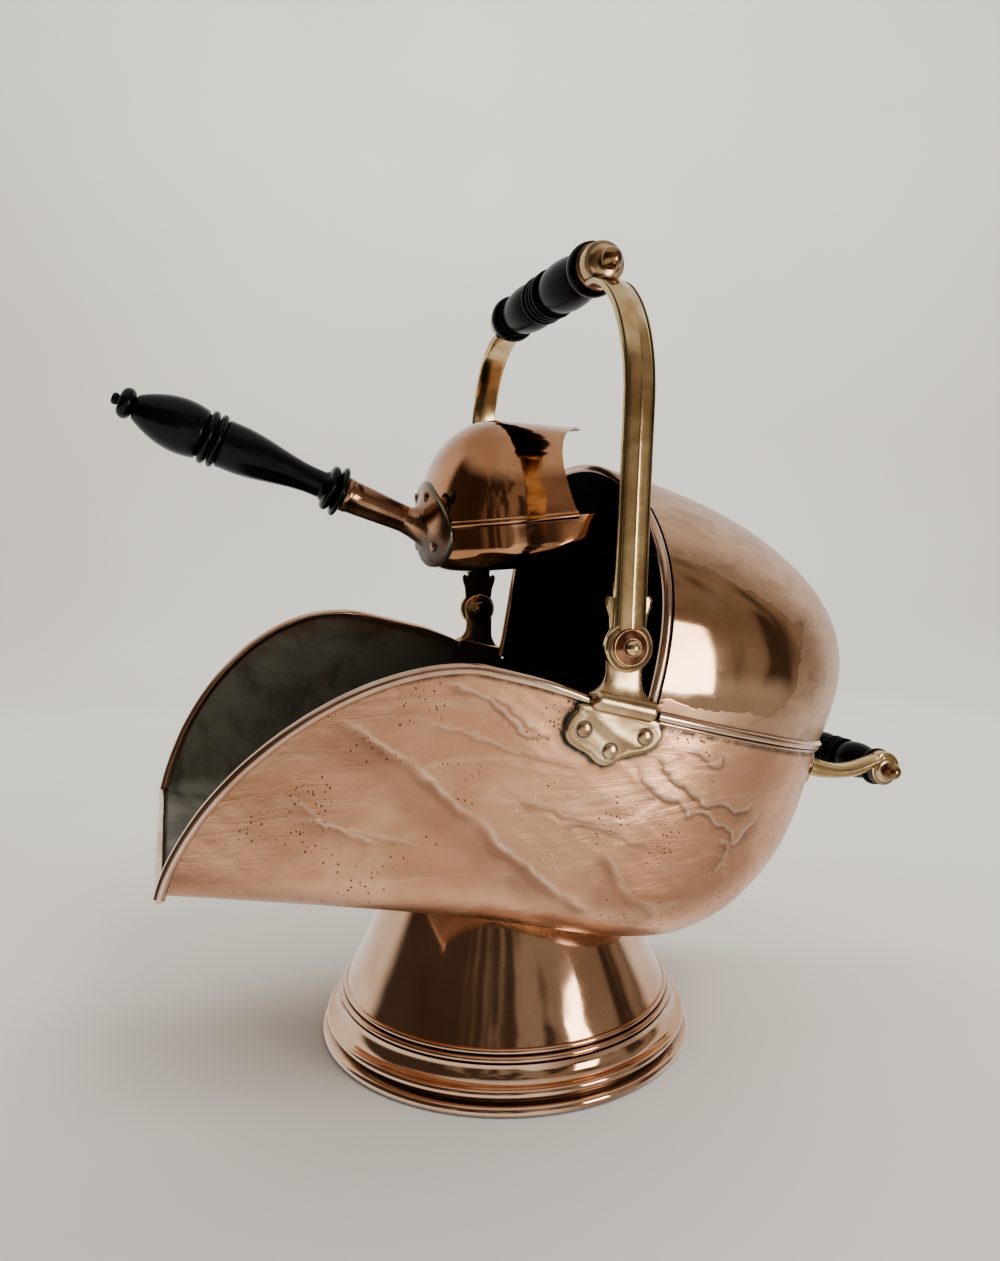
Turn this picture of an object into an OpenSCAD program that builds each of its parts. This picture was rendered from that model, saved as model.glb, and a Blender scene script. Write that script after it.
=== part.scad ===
// Helmet coal scuttle in sheet copper with cast brass mounts, ebonised grips and a scoop shovel.
// X runs from the mouth to the rear handle, Z is up, and the floor is at Z = 0 under the foot's axis.
// "Near" is the side towards -Y and "far" the side towards +Y.

/* [Sheet and wires] */
// Thickness of the sheet copper
sheet_t = 1.2; // [0.8:0.1:1.6]
// Radius of the wire that the mouth's edges are rolled round
wire_r = 2.8; // [2:0.1:3.4]
// Radius of the wire round the hood's arch
arch_wire_r = 2.6; // [2:0.1:3.2]
// Radius of the half-round band over the seam
band_r = 3.8; // [2.5:0.1:4.5]

/* [Foot] */
// Radius of the lowest rim of the foot
foot_r = 112.5; // [106:0.5:120]
// Height of the moulded ring of the foot
ring_h = 31; // [28:0.5:36]
// Radius of the cone where it stands on the ring
cone_r = 97.5; // [94:0.5:101]
// How far the cone draws in for each millimetre of height
cone_slope = 0.476; // [0.4:0.01:0.55]
// Height on the foot's axis at which the body's bottom lies
foot_h = 90.7; // [84:0.5:100]

/* [Body] */
// How far the body leans back on its foot, in degrees
body_tilt = 15; // [12:0.5:18]
// Width of the body at its seam
body_w = 246; // [236:1:256]
// Width of the mouth's lip
lip_w = 212; // [196:1:220]
// Distance from the foot's axis forward to the lip
lip_reach = 207.5; // [195:0.5:220]
// Length of the rounded rear, from the hood's arch to the end of the seam
rear_reach = 162; // [150:1:175]
// Distance from the foot's axis back to the hood's arch
arch_at = 8; // [5:0.5:12]
// Length of the straight part of the sides, in front of the arch
straight_l = 56; // [50:1:62]
// Height of the seam above the body's bottom
seam_h = 125.3; // [118:0.5:134]
// How far the sides draw in from the seam to the bottom
side_flare = 6; // [3:0.5:8]
// Breadth of the rounded edge between side and bottom
side_round = 34; // [28:1:38]
// Breadth of the rounding between rear and bottom
rear_round = 104; // [95:1:110]
// Height of the rounding at the rear
rear_rise = 118; // [108:1:118]
// Breadth of the edge between side and bottom at the lip
lip_round = 7; // [4:0.5:12]
// How far the lip dips below the bottom
lip_drop = 8; // [4:0.5:12]
// How high the near wing crests above the seam
near_crest = 7; // [4:0.5:12]
// How high the far wing crests above the seam
far_crest = 10; // [4:0.5:14]

/* [Hood] */
// Height of the hood above the seam
hood_h = 131; // [122:1:138]
// Height above the seam at which the hood is widest
hood_belly = 34; // [28:1:40]
// How far the arch's top leans forward
brow = 22; // [14:0.5:28]
// How far the hood swells past the seam at each side
side_swell = 2; // [1:0.1:2.4]
// How far the hood swells past the seam at the rear
rear_swell = 4; // [1:0.5:7]

/* [Bail] */
// Distance from the foot's axis to the bail's pivots, along X
pivot_x = 22.4; // [20:0.2:24]
// Height of the bail's pivots
pivot_z = 246.7; // [245:0.2:249]
// Radius of the pivot pins
pin_r = 2.5; // [2:0.1:2.8]
// Distance from the pivots to the middle of the grip
bail_r = 195; // [188:1:202]
// Angle at which the bail stands, from upright, in degrees
bail_lean = 2.3; // [0:0.1:5]
// Width of the bail's arms
arm_w = 17; // [14:0.2:18]
// Thickness of the bail's arms at their ridge
arm_t = 6; // [5:0.2:7]
// Length of the bail's grip
grip_l = 143; // [136:1:150]
// Radius of the grip's collars
grip_r = 14.7; // [13:0.1:16]
// Radius of the rods through the grips
rod_r = 3; // [2.5:0.1:3.5]
// Radius of the bosses at the ends of the grips
boss_r = 11.4; // [10:0.1:12.5]
// Radius of the balls at the ends of the rods
ball_r = 5.8; // [5:0.1:6.5]

/* [Rear handle] */
// Distance from the foot's axis to the rear grip's axis, along X
rear_x = 243; // [236:0.5:252]
// Height of the rear grip's axis
rear_z = 149; // [144:0.5:154]
// Length of the rear grip
rear_grip_l = 84; // [76:1:92]
// Radius of the rear grip
rear_grip_r = 12.4; // [11:0.1:14]

/* [Shovel] */
// Length of the shovel's pan
pan_l = 172; // [166:1:178]
// Width of the shovel's pan
pan_w = 112; // [104:1:114]
// Height of the pan's sides
pan_h = 27; // [24:0.5:31]
// Length of the rounded back of the pan
pan_back = 46; // [38:1:52]
// Length of the bonnet over the pan
bonnet_l = 75; // [66:1:84]
// Height of the bonnet above the pan's sides
bonnet_h = 58.5; // [50:0.5:62]
// Angle by which the pan rises towards its edge, in degrees
pan_pitch = 4.7; // [3:0.1:6]
// Angle between the handle and the floor, in degrees
handle_pitch = 22.4; // [20:0.2:25]
// Length of the turned handle
handle_l = 131; // [122:1:140]
// Length of the socket between handle and pan
socket_l = 50; // [46:1:56]
// Largest radius of the turned handle
handle_r = 15.2; // [14:0.1:16.5]
// Drop from the hood's roof, at its rivets, to the level of the pan's back
shovel_drop = 45; // [44:0.5:50]

/* [Fits] */
// Gap between a pin or rod and the bore round it
running_gap = 0.08; // [0.04:0.01:0.1]
// Gap under a piece that is seated on another
seat_gap = 0.1; // [0.05:0.01:0.2]
// Gap beside a piece that turns or slides past another
side_gap = 0.3; // [0.3:0.05:0.5]

/* [Hidden] */
$fn = 48;

half_w = body_w / 2;
lip_half = lip_w / 2;
arch_u = arch_at;
straight_u = arch_at - straight_l;
// Exponent of the rounded rear's outline: 2 is an ellipse, and more is squarer
plan_power = 2.2;
// Exponent of the hood's outline in elevation
hood_power = 2.2;
// Where the bottom starts to dip towards the lip, from the foot's axis
dip_from = 80;
// Where each wing's front curve starts, from the foot's axis, and its exponent
near_curve = [83, 1.68];
far_curve = [100, 2];
// Length over which a wing's crest fades out in front of the arch
crest_fade = 70;
// Height of the sheet above the bottom at the lip's corners
lip_corner = 3;

copper = "#b87a5e";
dark_copper = "#8a5a45";
brass = "#b09a66";
ebony = "#1a1816";

// ---------------------------------------------------------------- helpers

function smooth(t) = let (k = min(max(t, 0), 1)) k * k * (3 - 2 * k);
function mix(a, b, t) = a + (b - a) * t;
function quad(a, b, c, d) = [[a, b, c], [a, c, d]];
function tilt_point(p) = let (c = cos(body_tilt), s = sin(body_tilt))
  [p[0] * c + p[2] * s, p[1], foot_h - p[0] * s + p[2] * c];
function untilt_point(p) = let (c = cos(body_tilt), s = sin(body_tilt))
  [p[0] * c - (p[2] - foot_h) * s, p[1], p[0] * s + (p[2] - foot_h) * c];

// Places what follows in the body's own frame, which leans back on the foot.
module tilted() {
  translate([0, 0, foot_h]) rotate([0, body_tilt, 0]) children();
}

// Repeats what is modelled at the near side (-Y) at the far side.
module far_side() {
  mirror([0, 1, 0]) children();
}

// A round rod between two points.
module rod(p, q, r) {
  d = q - p;
  l = norm(d);
  translate(p) rotate([0, acos(d[2] / l), atan2(d[1], d[0])]) cylinder(h = l, r = r);
}

// A domed rivet head standing on z = 0.
module rivet_head(r, h) {
  rotate_extrude() intersection() {
    scale([1, h / r]) circle(r = r);
    square([r, h]);
  }
}

// Puts its children at point p with their z axis along d.
module aim(p, d) {
  l = norm(d);
  translate(p) rotate([0, acos(d[2] / l), atan2(d[1], d[0])]) children();
}

// Sweeps a section along a path. Its first coordinate goes along tangent x across, its second along across.
module sweep(path, section, across) {
  n = len(path);
  m = len(section);
  points = [for (i = [0 : n - 1]) let (
      d = path[min(i + 1, n - 1)] - path[max(i - 1, 0)],
      t = d / norm(d),
      side = cross(t, across) / norm(cross(t, across)),
      up = cross(side, t))
    for (p = section) path[i] + side * p[0] + up * p[1]];
  faces = concat(
    [for (i = [0 : n - 2]) for (j = [0 : m - 1]) let (k = (j + 1) % m)
      each quad(i * m + j, i * m + k, (i + 1) * m + k, (i + 1) * m + j)],
    [[for (j = [m - 1 : -1 : 0]) j]],
    [[for (j = [0 : m - 1]) (n - 1) * m + j]]);
  polyhedron(points = points, faces = faces);
}

function ring_section(r, n) = [for (i = [0 : n - 1]) [r * cos(i * 360 / n), r * sin(i * 360 / n)]];

// A shell between two skins that wrap a closed rear end and are joined across the bottom.
// A skin is a list of columns: near side from front to rear, then far side from rear to front.
module trough_shell(outer, inner) {
  c = len(outer) - 1;
  half = c / 2;
  m = len(outer[0]) - 1;
  count = (c + 1) * (m + 1);
  function id(i, j, skin) = skin * count + i * (m + 1) + j;
  points = concat([for (column = outer) each column], [for (column = inner) each column]);
  faces = concat(
    [for (i = [0 : c - 1]) for (j = [0 : m - 1])
      each quad(id(i, j, 0), id(i + 1, j, 0), id(i + 1, j + 1, 0), id(i, j + 1, 0))],
    [for (i = [0 : c - 1]) for (j = [0 : m - 1])
      each quad(id(i, j, 1), id(i, j + 1, 1), id(i + 1, j + 1, 1), id(i + 1, j, 1))],
    [for (i = [0 : half - 2])
      each quad(id(i, m, 0), id(i + 1, m, 0), id(c - i - 1, m, 0), id(c - i, m, 0))],
    [for (i = [0 : half - 2])
      each quad(id(i, m, 1), id(c - i, m, 1), id(c - i - 1, m, 1), id(i + 1, m, 1))],
    [[id(half - 1, m, 0), id(half, m, 0), id(half + 1, m, 0)]],
    [[id(half - 1, m, 1), id(half + 1, m, 1), id(half, m, 1)]],
    [for (i = [0 : c - 1]) each quad(id(i, 0, 0), id(i, 0, 1), id(i + 1, 0, 1), id(i + 1, 0, 0))],
    [for (j = [0 : m - 1]) each quad(id(0, j, 0), id(0, j + 1, 0), id(0, j + 1, 1), id(0, j, 1))],
    [for (j = [0 : m - 1]) each quad(id(c, j, 0), id(c, j, 1), id(c, j + 1, 1), id(c, j + 1, 0))],
    quad(id(0, m, 0), id(c, m, 0), id(c, m, 1), id(0, m, 1)));
  polyhedron(points = points, faces = faces);
}

// A shell between two domed skins with an open arch in front and a closed rear.
// A skin is a list of rows from the base up, each from the near front round the rear to the far front.
// The near and far halves of the last row meet in the dome's top line.
module dome_shell(outer, inner) {
  k = len(outer) - 1;
  j = len(outer[0]) - 1;
  half = j / 2;
  count = k * (j + 1) + half + 1;
  function id(a, b, skin) = skin * count + a * (j + 1) + (a < k ? b : min(b, j - b));
  function skin_points(rows) = concat(
    [for (a = [0 : k - 1]) each rows[a]], [for (b = [0 : half]) rows[k][b]]);
  // The quad under the top line's middle has two corners in common, so it is a triangle there.
  function outer_cell(a, b) = quad(id(a, b, 0), id(a + 1, b, 0), id(a + 1, b + 1, 0), id(a, b + 1, 0));
  function inner_cell(a, b) = quad(id(a, b, 1), id(a, b + 1, 1), id(a + 1, b + 1, 1), id(a + 1, b, 1));
  faces = concat(
    [for (a = [0 : k - 1]) for (b = [0 : j - 1]) each outer_cell(a, b)],
    [for (a = [0 : k - 1]) for (b = [0 : j - 1]) each inner_cell(a, b)],
    [for (b = [0 : j - 1]) each quad(id(0, b, 0), id(0, b + 1, 0), id(0, b + 1, 1), id(0, b, 1))],
    [for (a = [0 : k - 1]) each quad(id(a, 0, 0), id(a, 0, 1), id(a + 1, 0, 1), id(a + 1, 0, 0))],
    [for (a = [0 : k - 1]) each quad(id(a, j, 0), id(a + 1, j, 0), id(a + 1, j, 1), id(a, j, 1))]);
  polyhedron(points = concat(skin_points(outer), skin_points(inner)), faces = faces);
}

// ---------------------------------------------------------------- shape of the body

// Height of the bottom: level, then dipping towards the lip.
function bottom_v(u) =
  -lip_drop * pow(min(max((-dip_from - u) / (lip_reach - dip_from), 0), 1), 1.6);
// Half width of the body at its seam, in front of the arch.
function side_w(u) =
  half_w - (half_w - lip_half) * pow(min(max((straight_u - u) / (straight_u + lip_reach), 0), 1), 2);
// Line of the wing's edge at a side (-1 near, 1 far), drawn in by d from the wire's outer face.
function wing_v(u, side, d) = let (
    curve = side < 0 ? near_curve : far_curve,
    crest = side < 0 ? near_crest : far_crest,
    low = bottom_v(-lip_reach) + lip_corner,
    front = lip_reach - d,
    f = min(max((-curve[0] - u) / (front - curve[0]), 0), 1),
    top = seam_h + crest * smooth((arch_u - u) / crest_fade) - d)
  low + (top - low) * pow(1 - pow(f, curve[1]), 1 / curve[1]);
// Half width of the wall's outer face, which draws in below the seam.
function wall_w(u, v) = side_w(u) - side_flare * (seam_h - v) / seam_h;
// How far the sheet's edge stays below the edge line: under the wire, and nowhere under the hood.
sheet_inset = 2 * wire_r + 4 * seat_gap;
function edge_inset(u) = sheet_inset * smooth((arch_u - 2 - u) / 36);
function edge_v(u, side) = u >= arch_u ? seam_h : wing_v(u, side, edge_inset(u));

// Stations along the body's outline: -1 at the lip, 0 at the arch and 1 at the end of the rear.
front_steps = 14;
straight_steps = 3;
rear_steps = 16;
straight_s = -0.25;
function body_stations() = concat(
  [for (i = [0 : front_steps - 1]) mix(-1, straight_s, 1 - cos(90 * i / front_steps))],
  [for (i = [0 : straight_steps - 1]) mix(straight_s, 0, i / straight_steps)],
  [for (i = [0 : rear_steps]) i / rear_steps]);
front_u = sheet_inset - lip_reach;
// Outline of the near side at the seam.
function plan(s) =
  s < straight_s ? let (u = mix(straight_u, front_u, (straight_s - s) / (1 + straight_s))) [u, -side_w(u)] :
  s < 0 ? [mix(arch_u, straight_u, s / straight_s), -half_w] :
  [arch_u + rear_reach * pow(sin(90 * s), 2 / plan_power), -half_w * pow(cos(90 * s), 2 / plan_power)];
// Outward normal of that outline.
function plan_normal(s) = let (
    d = plan(min(s + 0.001, 1)) - plan(max(s - 0.001, -1)))
  s >= 1 ? [1, 0] : [d[1], -d[0]] / norm(d);
// Breadth and height of the rounding between wall and bottom.
function round_w(s) = s < 0
  ? mix(side_round, lip_round, max(straight_s - s, 0) / (1 + straight_s))
  : mix(side_round, rear_round, smooth(s));
function round_h(s) = s < 0
  ? mix(side_round, lip_round, max(straight_s - s, 0) / (1 + straight_s))
  : mix(side_round, rear_rise, smooth(s));
// Rows of the wall, from the edge (0) over the start of the rounding (wall_rows) to the bottom.
wall_rows = 4;
round_rows = 7;
// A point of the wall, at a station, a row and a side, drawn in by t from the outer face.
function wall_point(s, row, side, t) = let (
    p = plan(s),
    n = plan_normal(s),
    top = edge_v(p[0], side),
    low = bottom_v(p[0]) + t,
    h = min(round_h(s), 0.8 * (top - low)),
    w = min(round_w(s), h),
    turn = 90 * max(row - wall_rows, 0) / round_rows,
    v = row <= wall_rows ? mix(top, low + h, row / wall_rows) : low + h * (1 - sin(turn)),
    inset = side_flare * (seam_h - v) / seam_h + w * (1 - cos(turn)) + t)
  [p[0] - n[0] * inset, -side * (p[1] - n[1] * inset), v];
function wall_column(s, side, t) = [for (row = [0 : wall_rows + round_rows]) wall_point(s, row, side, t)];
function body_skin(t) = let (s = body_stations(), n = len(s)) concat(
  [for (i = [0 : n - 1]) wall_column(s[i], -1, t)],
  [for (i = [n - 2 : -1 : 0]) wall_column(s[i], 1, t)]);
// A closed patch of the near wall, between two skins drawn in by t0 and t1.
module wall_patch(s0, s1, row0, row1, t0, t1) {
  steps = 6;
  function patch_point(i, j, t) = wall_point(mix(s0, s1, i / steps), mix(row0, row1, j / steps), -1, t);
  function id(i, j, skin) = skin * (steps + 1) * (steps + 1) + i * (steps + 1) + j;
  points = [for (t = [t0, t1]) for (i = [0 : steps]) for (j = [0 : steps]) patch_point(i, j, t)];
  faces = concat(
    [for (i = [0 : steps - 1]) for (j = [0 : steps - 1])
      each quad(id(i, j, 0), id(i + 1, j, 0), id(i + 1, j + 1, 0), id(i, j + 1, 0))],
    [for (i = [0 : steps - 1]) for (j = [0 : steps - 1])
      each quad(id(i, j, 1), id(i, j + 1, 1), id(i + 1, j + 1, 1), id(i + 1, j, 1))],
    [for (i = [0 : steps - 1]) each quad(id(i, 0, 0), id(i, 0, 1), id(i + 1, 0, 1), id(i + 1, 0, 0))],
    [for (i = [0 : steps - 1])
      each quad(id(i, steps, 0), id(i + 1, steps, 0), id(i + 1, steps, 1), id(i, steps, 1))],
    [for (j = [0 : steps - 1]) each quad(id(0, j, 0), id(0, j + 1, 0), id(0, j + 1, 1), id(0, j, 1))],
    [for (j = [0 : steps - 1])
      each quad(id(steps, j, 0), id(steps, j, 1), id(steps, j + 1, 1), id(steps, j + 1, 0))]);
  polyhedron(points = points, faces = faces);
}
function wall_normal(s, row) = let (
    e = 0.01,
    a = wall_point(s + e, row, -1, 0) - wall_point(s - e, row, -1, 0),
    b = wall_point(s, row + 0.1, -1, 0) - wall_point(s, row - 0.1, -1, 0),
    n = cross(b, a))
  n / norm(n);

// ---------------------------------------------------------------- shape of the hood

hood_rows = 14;
belly_rows = 3;
hood_columns = 32;
// How much of its full outline the hood has at row k, from the belly's level up.
function hood_turn(k) = 90 * max(k - belly_rows, 0) / (hood_rows - belly_rows);
function hood_fill(k) = pow(cos(hood_turn(k)), 2 / hood_power);
function hood_v(k, t) = k <= belly_rows
  ? hood_belly * k / belly_rows
  : hood_belly + (hood_h - t - hood_belly) * pow(sin(hood_turn(k)), 2 / hood_power);
function below_belly(k) = pow(max(belly_rows - k, 0) / belly_rows, 2);
// A point of the hood at row k and column j, drawn in by t.
function hood_point(k, j, t) = let (
    turn = mix(-90, 90, j / hood_columns),
    h = hood_v(k, t),
    // The top line keeps a little length, so that the skin has no pole.
    along = max(hood_fill(k), 0.1),
    across = k == hood_rows ? 0 : hood_fill(k),
    u = (rear_reach + rear_swell * (1 - below_belly(k)) - t) * along * pow(abs(cos(turn)), 2 / plan_power),
    w = (half_w + side_swell * (1 - below_belly(k)) - t) * across * pow(abs(sin(turn)), 2 / plan_power),
    lean = brow * pow(h / (hood_h - t), 2) * (1 - along * abs(cos(turn))))
  [arch_u + u - lean, sign(turn) * w, seam_h + h];
function hood_skin(t) = [for (k = [0 : hood_rows]) [for (j = [0 : hood_columns]) hood_point(k, j, t)]];
// Height of the hood's inner face above the seam, on the middle line, found by trying its lean again.
function roof_h(u, lean = brow, tries = 5) = let (
    f = (u - arch_u + lean) / (rear_reach + rear_swell - sheet_t + lean),
    rise = hood_h - sheet_t - hood_belly,
    h = hood_belly + rise * pow(1 - pow(f, hood_power), 1 / hood_power))
  tries == 0 ? h : roof_h(u, brow * pow(h / (hood_h - sheet_t), 2), tries - 1);
function roof_v(u) = seam_h + roof_h(u);

// ---------------------------------------------------------------- body, hood and trim

module trough() {
  color(copper) tilted() trough_shell(body_skin(0), body_skin(sheet_t));
}

module hood() {
  color(copper) tilted() dome_shell(hood_skin(0), hood_skin(sheet_t));
}

// The bracket's half-round rail covers the edge between these two places.
rail_l = 36.5;
rail_from = arch_u - 1 - rail_l;

// The wire's middle line, from the lip's corner to the bracket.
wire_steps = 26;
function wire_path(side) = let (front = wire_r - lip_reach) [for (i = [0 : wire_steps]) let (
    u = mix(front, rail_from - 2 * side_gap, 1 - cos(90 * i / wire_steps)),
    v = i == 0 ? bottom_v(-lip_reach) : wing_v(u, side, wire_r))
  [u, side * (wall_w(u, v) - sheet_t / 2), v]];

module wing_wire(side) {
  color(copper) tilted() sweep(wire_path(side), ring_section(wire_r, 10), [0, 1, 0]);
}

module lip_wire() {
  u = wire_r - lip_reach;
  v = bottom_v(-lip_reach) + sheet_t / 2;
  l = wall_w(u, v) - sheet_t / 2 - wire_r - seat_gap;
  color(copper) tilted() translate([u, -l, v]) rotate([-90, 0, 0]) cylinder(h = 2 * l, r = wire_r);
}

// The arch wire lies against the front edge of the hood, almost flush with the hood's outer face.
module arch_wire() {
  first = 1;
  gap = arch_wire_r + seat_gap;
  inset = arch_wire_r - 0.4;
  near = [for (k = [first : hood_rows]) hood_point(k, 0, inset) - [gap, 0, 0]];
  far = [for (k = [hood_rows - 1 : -1 : first]) hood_point(k, hood_columns, inset) - [gap, 0, 0]];
  color(copper) tilted() sweep(concat(near, far), ring_section(arch_wire_r, 10), [1, 0, 0]);
}

// The band covers the seam from one bracket round the rear to the other.
module seam_band() {
  near = [for (i = [0 : rear_steps]) [each plan(i / rear_steps), seam_h]];
  far = [for (i = [rear_steps - 1 : -1 : 0]) let (p = plan(i / rear_steps)) [p[0], -p[1], seam_h]];
  // The hood swells out behind the band's upper edge, which stands out by as much.
  lift = band_r * rear_swell * (1 - below_belly(1)) * belly_rows / hood_belly;
  section = [for (a = [-90 : 22.5 : 90])
    [seat_gap + band_r * 0.8 * cos(a) + lift * max(sin(a), 0), band_r * sin(a)]];
  color(copper) tilted() difference() {
    sweep(concat(near, far), section, [0, 0, 1]);
    translate([arch_u - body_w, -body_w, 0]) cube([body_w + side_gap, 2 * body_w, seam_h * 2]);
  }
}

// ---------------------------------------------------------------- foot

function bulge(r, z0, z1, out) = [for (a = [-90 : 22.5 : 90]) [r + out * cos(a), mix(z0, z1, (1 + sin(a)) / 2)]];

module foot_ring() {
  // Heights of the mouldings, from the floor up
  rim_h = 6;
  step_z0 = 9;
  step_z1 = 14;
  cove_z = 23.5;
  bead_z = 27.5;
  wall = 3;
  step_r = foot_r - 2.5;
  cove_r = cone_r + 4;
  outline = concat(
    [[foot_r - 6, 0]],
    bulge(foot_r - 2.5, 0, rim_h, 2.5),
    [[foot_r - 5, rim_h + 1.2], [foot_r - 5, step_z0 - 0.8]],
    bulge(step_r - 2, step_z0, step_z1, 2),
    [for (a = [0 : 15 : 90]) [cove_r + (step_r - 2 - cove_r) * (1 - sin(a)), mix(step_z1, cove_z, 1 - cos(a))]],
    bulge(cove_r - 1.6, cove_z + 0.4, bead_z, 1.6),
    bulge(cone_r + 0.6, bead_z, ring_h, 1.4),
    [[cone_r, ring_h], [cone_r - sheet_t, ring_h]],
    [[cone_r - wall, bead_z], [cove_r - wall, cove_z], [step_r - 2 - wall, step_z1 - 2], [foot_r - 6, 1]]);
  color(copper) rotate_extrude($fn = 96) polygon(outline);
}

// The cone rises to the body's flat bottom.
module foot_cone() {
  top = foot_h + cone_r * sin(body_tilt);
  function cone_at(z) = cone_r - cone_slope * (z - ring_h);
  color(copper) difference() {
    rotate_extrude($fn = 96) polygon([[cone_r - sheet_t, ring_h], [cone_r, ring_h],
      [cone_at(top), top], [cone_at(top) - sheet_t, top]]);
    tilted() translate([-body_w, -body_w, -seat_gap]) cube([2 * body_w, 2 * body_w, seam_h]);
  }
}

// ---------------------------------------------------------------- bail brackets

pivot_uv = untilt_point([pivot_x, 0, pivot_z]);
plate_t = 3;
ear_t = 3.8;
ear_inner = half_w - 0.6;
ear_outer = ear_inner + ear_t;
ear_r = 10.6;
rail_r = 4.9;
rail_v = seam_h + 2.6;
// How far the rail's middle stands out from the wall
rail_out = 2.4;
// Places of the three rivets of a bracket, along the body and up from its bottom
rivet_spots = [[-29.2, seam_h - 13], [4.2, seam_h - 10.5], [-12.5, seam_h - 21]];
// Middles and radii of the plate's three lobes
lobes = [rivet_spots[0], [4.4, seam_h - 8.4], rivet_spots[2]];
lobe_r = [9.6, 9.4, 8];
rivet_r = 3.8;
rivet_h = 2.2;
flare_angle = atan(side_flare / seam_h);

// Lays a flat piece on the near wall, z outward, hinged at the seam.
module on_side() {
  translate([0, -half_w - seat_gap, seam_h]) rotate([90 - flare_angle, 0, 0]) translate([0, -seam_h, 0])
    children();
}

module bracket_plate() {
  function lobe_edge(i, a) = lobes[i] + lobe_r[i] * [cos(a), sin(a)];
  on_side() linear_extrude(plate_t) union() {
    for (i = [0 : 2]) translate(lobes[i]) circle(r = lobe_r[i]);
    // The plate's edge runs nearly straight from lobe to lobe.
    polygon([[rail_from + 1, seam_h], lobe_edge(0, 140), lobe_edge(0, 252), lobe_edge(2, 232),
      lobe_edge(2, 312), lobe_edge(1, 268), lobe_edge(1, 20), [rail_from + rail_l - 1, seam_h]]);
  }
}

// The ear's outline: a disc round the pivot on a neck that spreads to the rail.
module ear_outline() {
  steps = 8;
  neck = 9;
  low = [rail_from + 0.5, rail_from + rail_l - 0.5];
  u = pivot_uv[0];
  v0 = rail_v;
  v1 = pivot_uv[2] - 4;
  union() {
    translate([u, pivot_uv[2]]) circle(r = ear_r);
    polygon(concat(
      [for (i = [0 : steps]) [mix(low[0], u - neck, smooth(i / steps)), mix(v0, v1, i / steps)]],
      [for (i = [steps : -1 : 0]) [mix(low[1], u + neck, smooth(i / steps)), mix(v0, v1, i / steps)]]));
  }
}

module bracket() {
  tilted() difference() {
    union() {
      bracket_plate();
      difference() {
        translate([rail_from, -half_w - rail_out, rail_v]) rotate([0, 90, 0]) cylinder(h = rail_l, r = rail_r);
        translate([rail_from - 1, -half_w - seat_gap, 0]) cube([rail_l + 2, half_w, seam_h + 3 * seat_gap]);
      }
      translate([0, -ear_inner, 0]) rotate([90, 0, 0]) linear_extrude(ear_t) ear_outline();
    }
    translate([pivot_uv[0], 0, pivot_uv[2]]) rotate([90, 0, 0])
      cylinder(h = body_w, r = pin_r + running_gap / 2);
    // Room for the band behind the arch
    translate([arch_u, -body_w, seam_h - band_r - side_gap]) cube([body_w, body_w, 2 * band_r]);
    // Room for the sheet and its wire behind the rail
    translate([rail_from - 1, -half_w + ear_t, 0]) cube([rail_l + 2, half_w, pivot_uv[2] * 2]);
  }
}

module bracket_near() {
  color(brass) bracket();
}

module bracket_far() {
  color(brass) far_side() bracket();
}

module bracket_rivets() {
  module rivets() {
    tilted() on_side() for (p = rivet_spots)
      translate([p[0], p[1], plate_t + seat_gap]) rivet_head(rivet_r, rivet_h);
  }
  color(brass) {
    rivets();
    far_side() rivets();
  }
}

// ---------------------------------------------------------------- bail

arm_in = ear_outer + side_gap;
arm_mid = arm_in + arm_t / 2;
hub_r = 12.7;
hub_t = 5;
washer_r = 8.8;
washer_t = 2.4;
washer_at = arm_in + hub_t + side_gap;
nut_r = 4;
nut_at = washer_at + washer_t + seat_gap;
pin_end = nut_at + 1.6;

// Puts pieces on the near pivot, with z pointing outward from the body's middle.
module at_pivot() {
  translate([pivot_x, 0, pivot_z]) rotate([90, 0, 0]) children();
}

module pivot_pin() {
  at_pivot() union() {
    translate([0, 0, ear_inner - seat_gap - rivet_h]) cylinder(h = rivet_h, r = pin_r * 2);
    translate([0, 0, ear_inner - seat_gap - 1]) cylinder(h = pin_end - ear_inner + seat_gap + 1, r = pin_r);
  }
}

module pivot_pin_near() {
  color(brass) pivot_pin();
}

module pivot_pin_far() {
  color(brass) far_side() pivot_pin();
}

module pivot_washers() {
  module washer() {
    at_pivot() translate([0, 0, washer_at]) difference() {
      rivet_head(washer_r, washer_t);
      translate([0, 0, -1]) cylinder(h = washer_t + 2, r = pin_r + running_gap / 2);
      translate([0, 0, washer_t - 0.3]) cylinder(h = 1, r = nut_r + 0.5);
    }
  }
  color(dark_copper) {
    washer();
    far_side() washer();
  }
}

module pivot_nuts() {
  nut_h = 3.6;
  module nut() {
    at_pivot() translate([0, 0, nut_at - 0.3]) difference() {
      rivet_head(nut_r, nut_h);
      translate([0, 0, -1]) cylinder(h = pin_end - nut_at + 0.3 + 1 + seat_gap, r = pin_r + running_gap / 2);
    }
  }
  color(brass) {
    nut();
    far_side() nut();
  }
}

// Places what follows in the bail's frame: origin between the pivots, z along the arms.
module bail_frame() {
  translate([pivot_x, 0, pivot_z]) rotate([0, bail_lean, 0]) children();
}

boss_in = grip_l / 2 + 2.2;
boss_t = 7.5;
boss_dome = 3.5;
arm_bend_z = 118;
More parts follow.
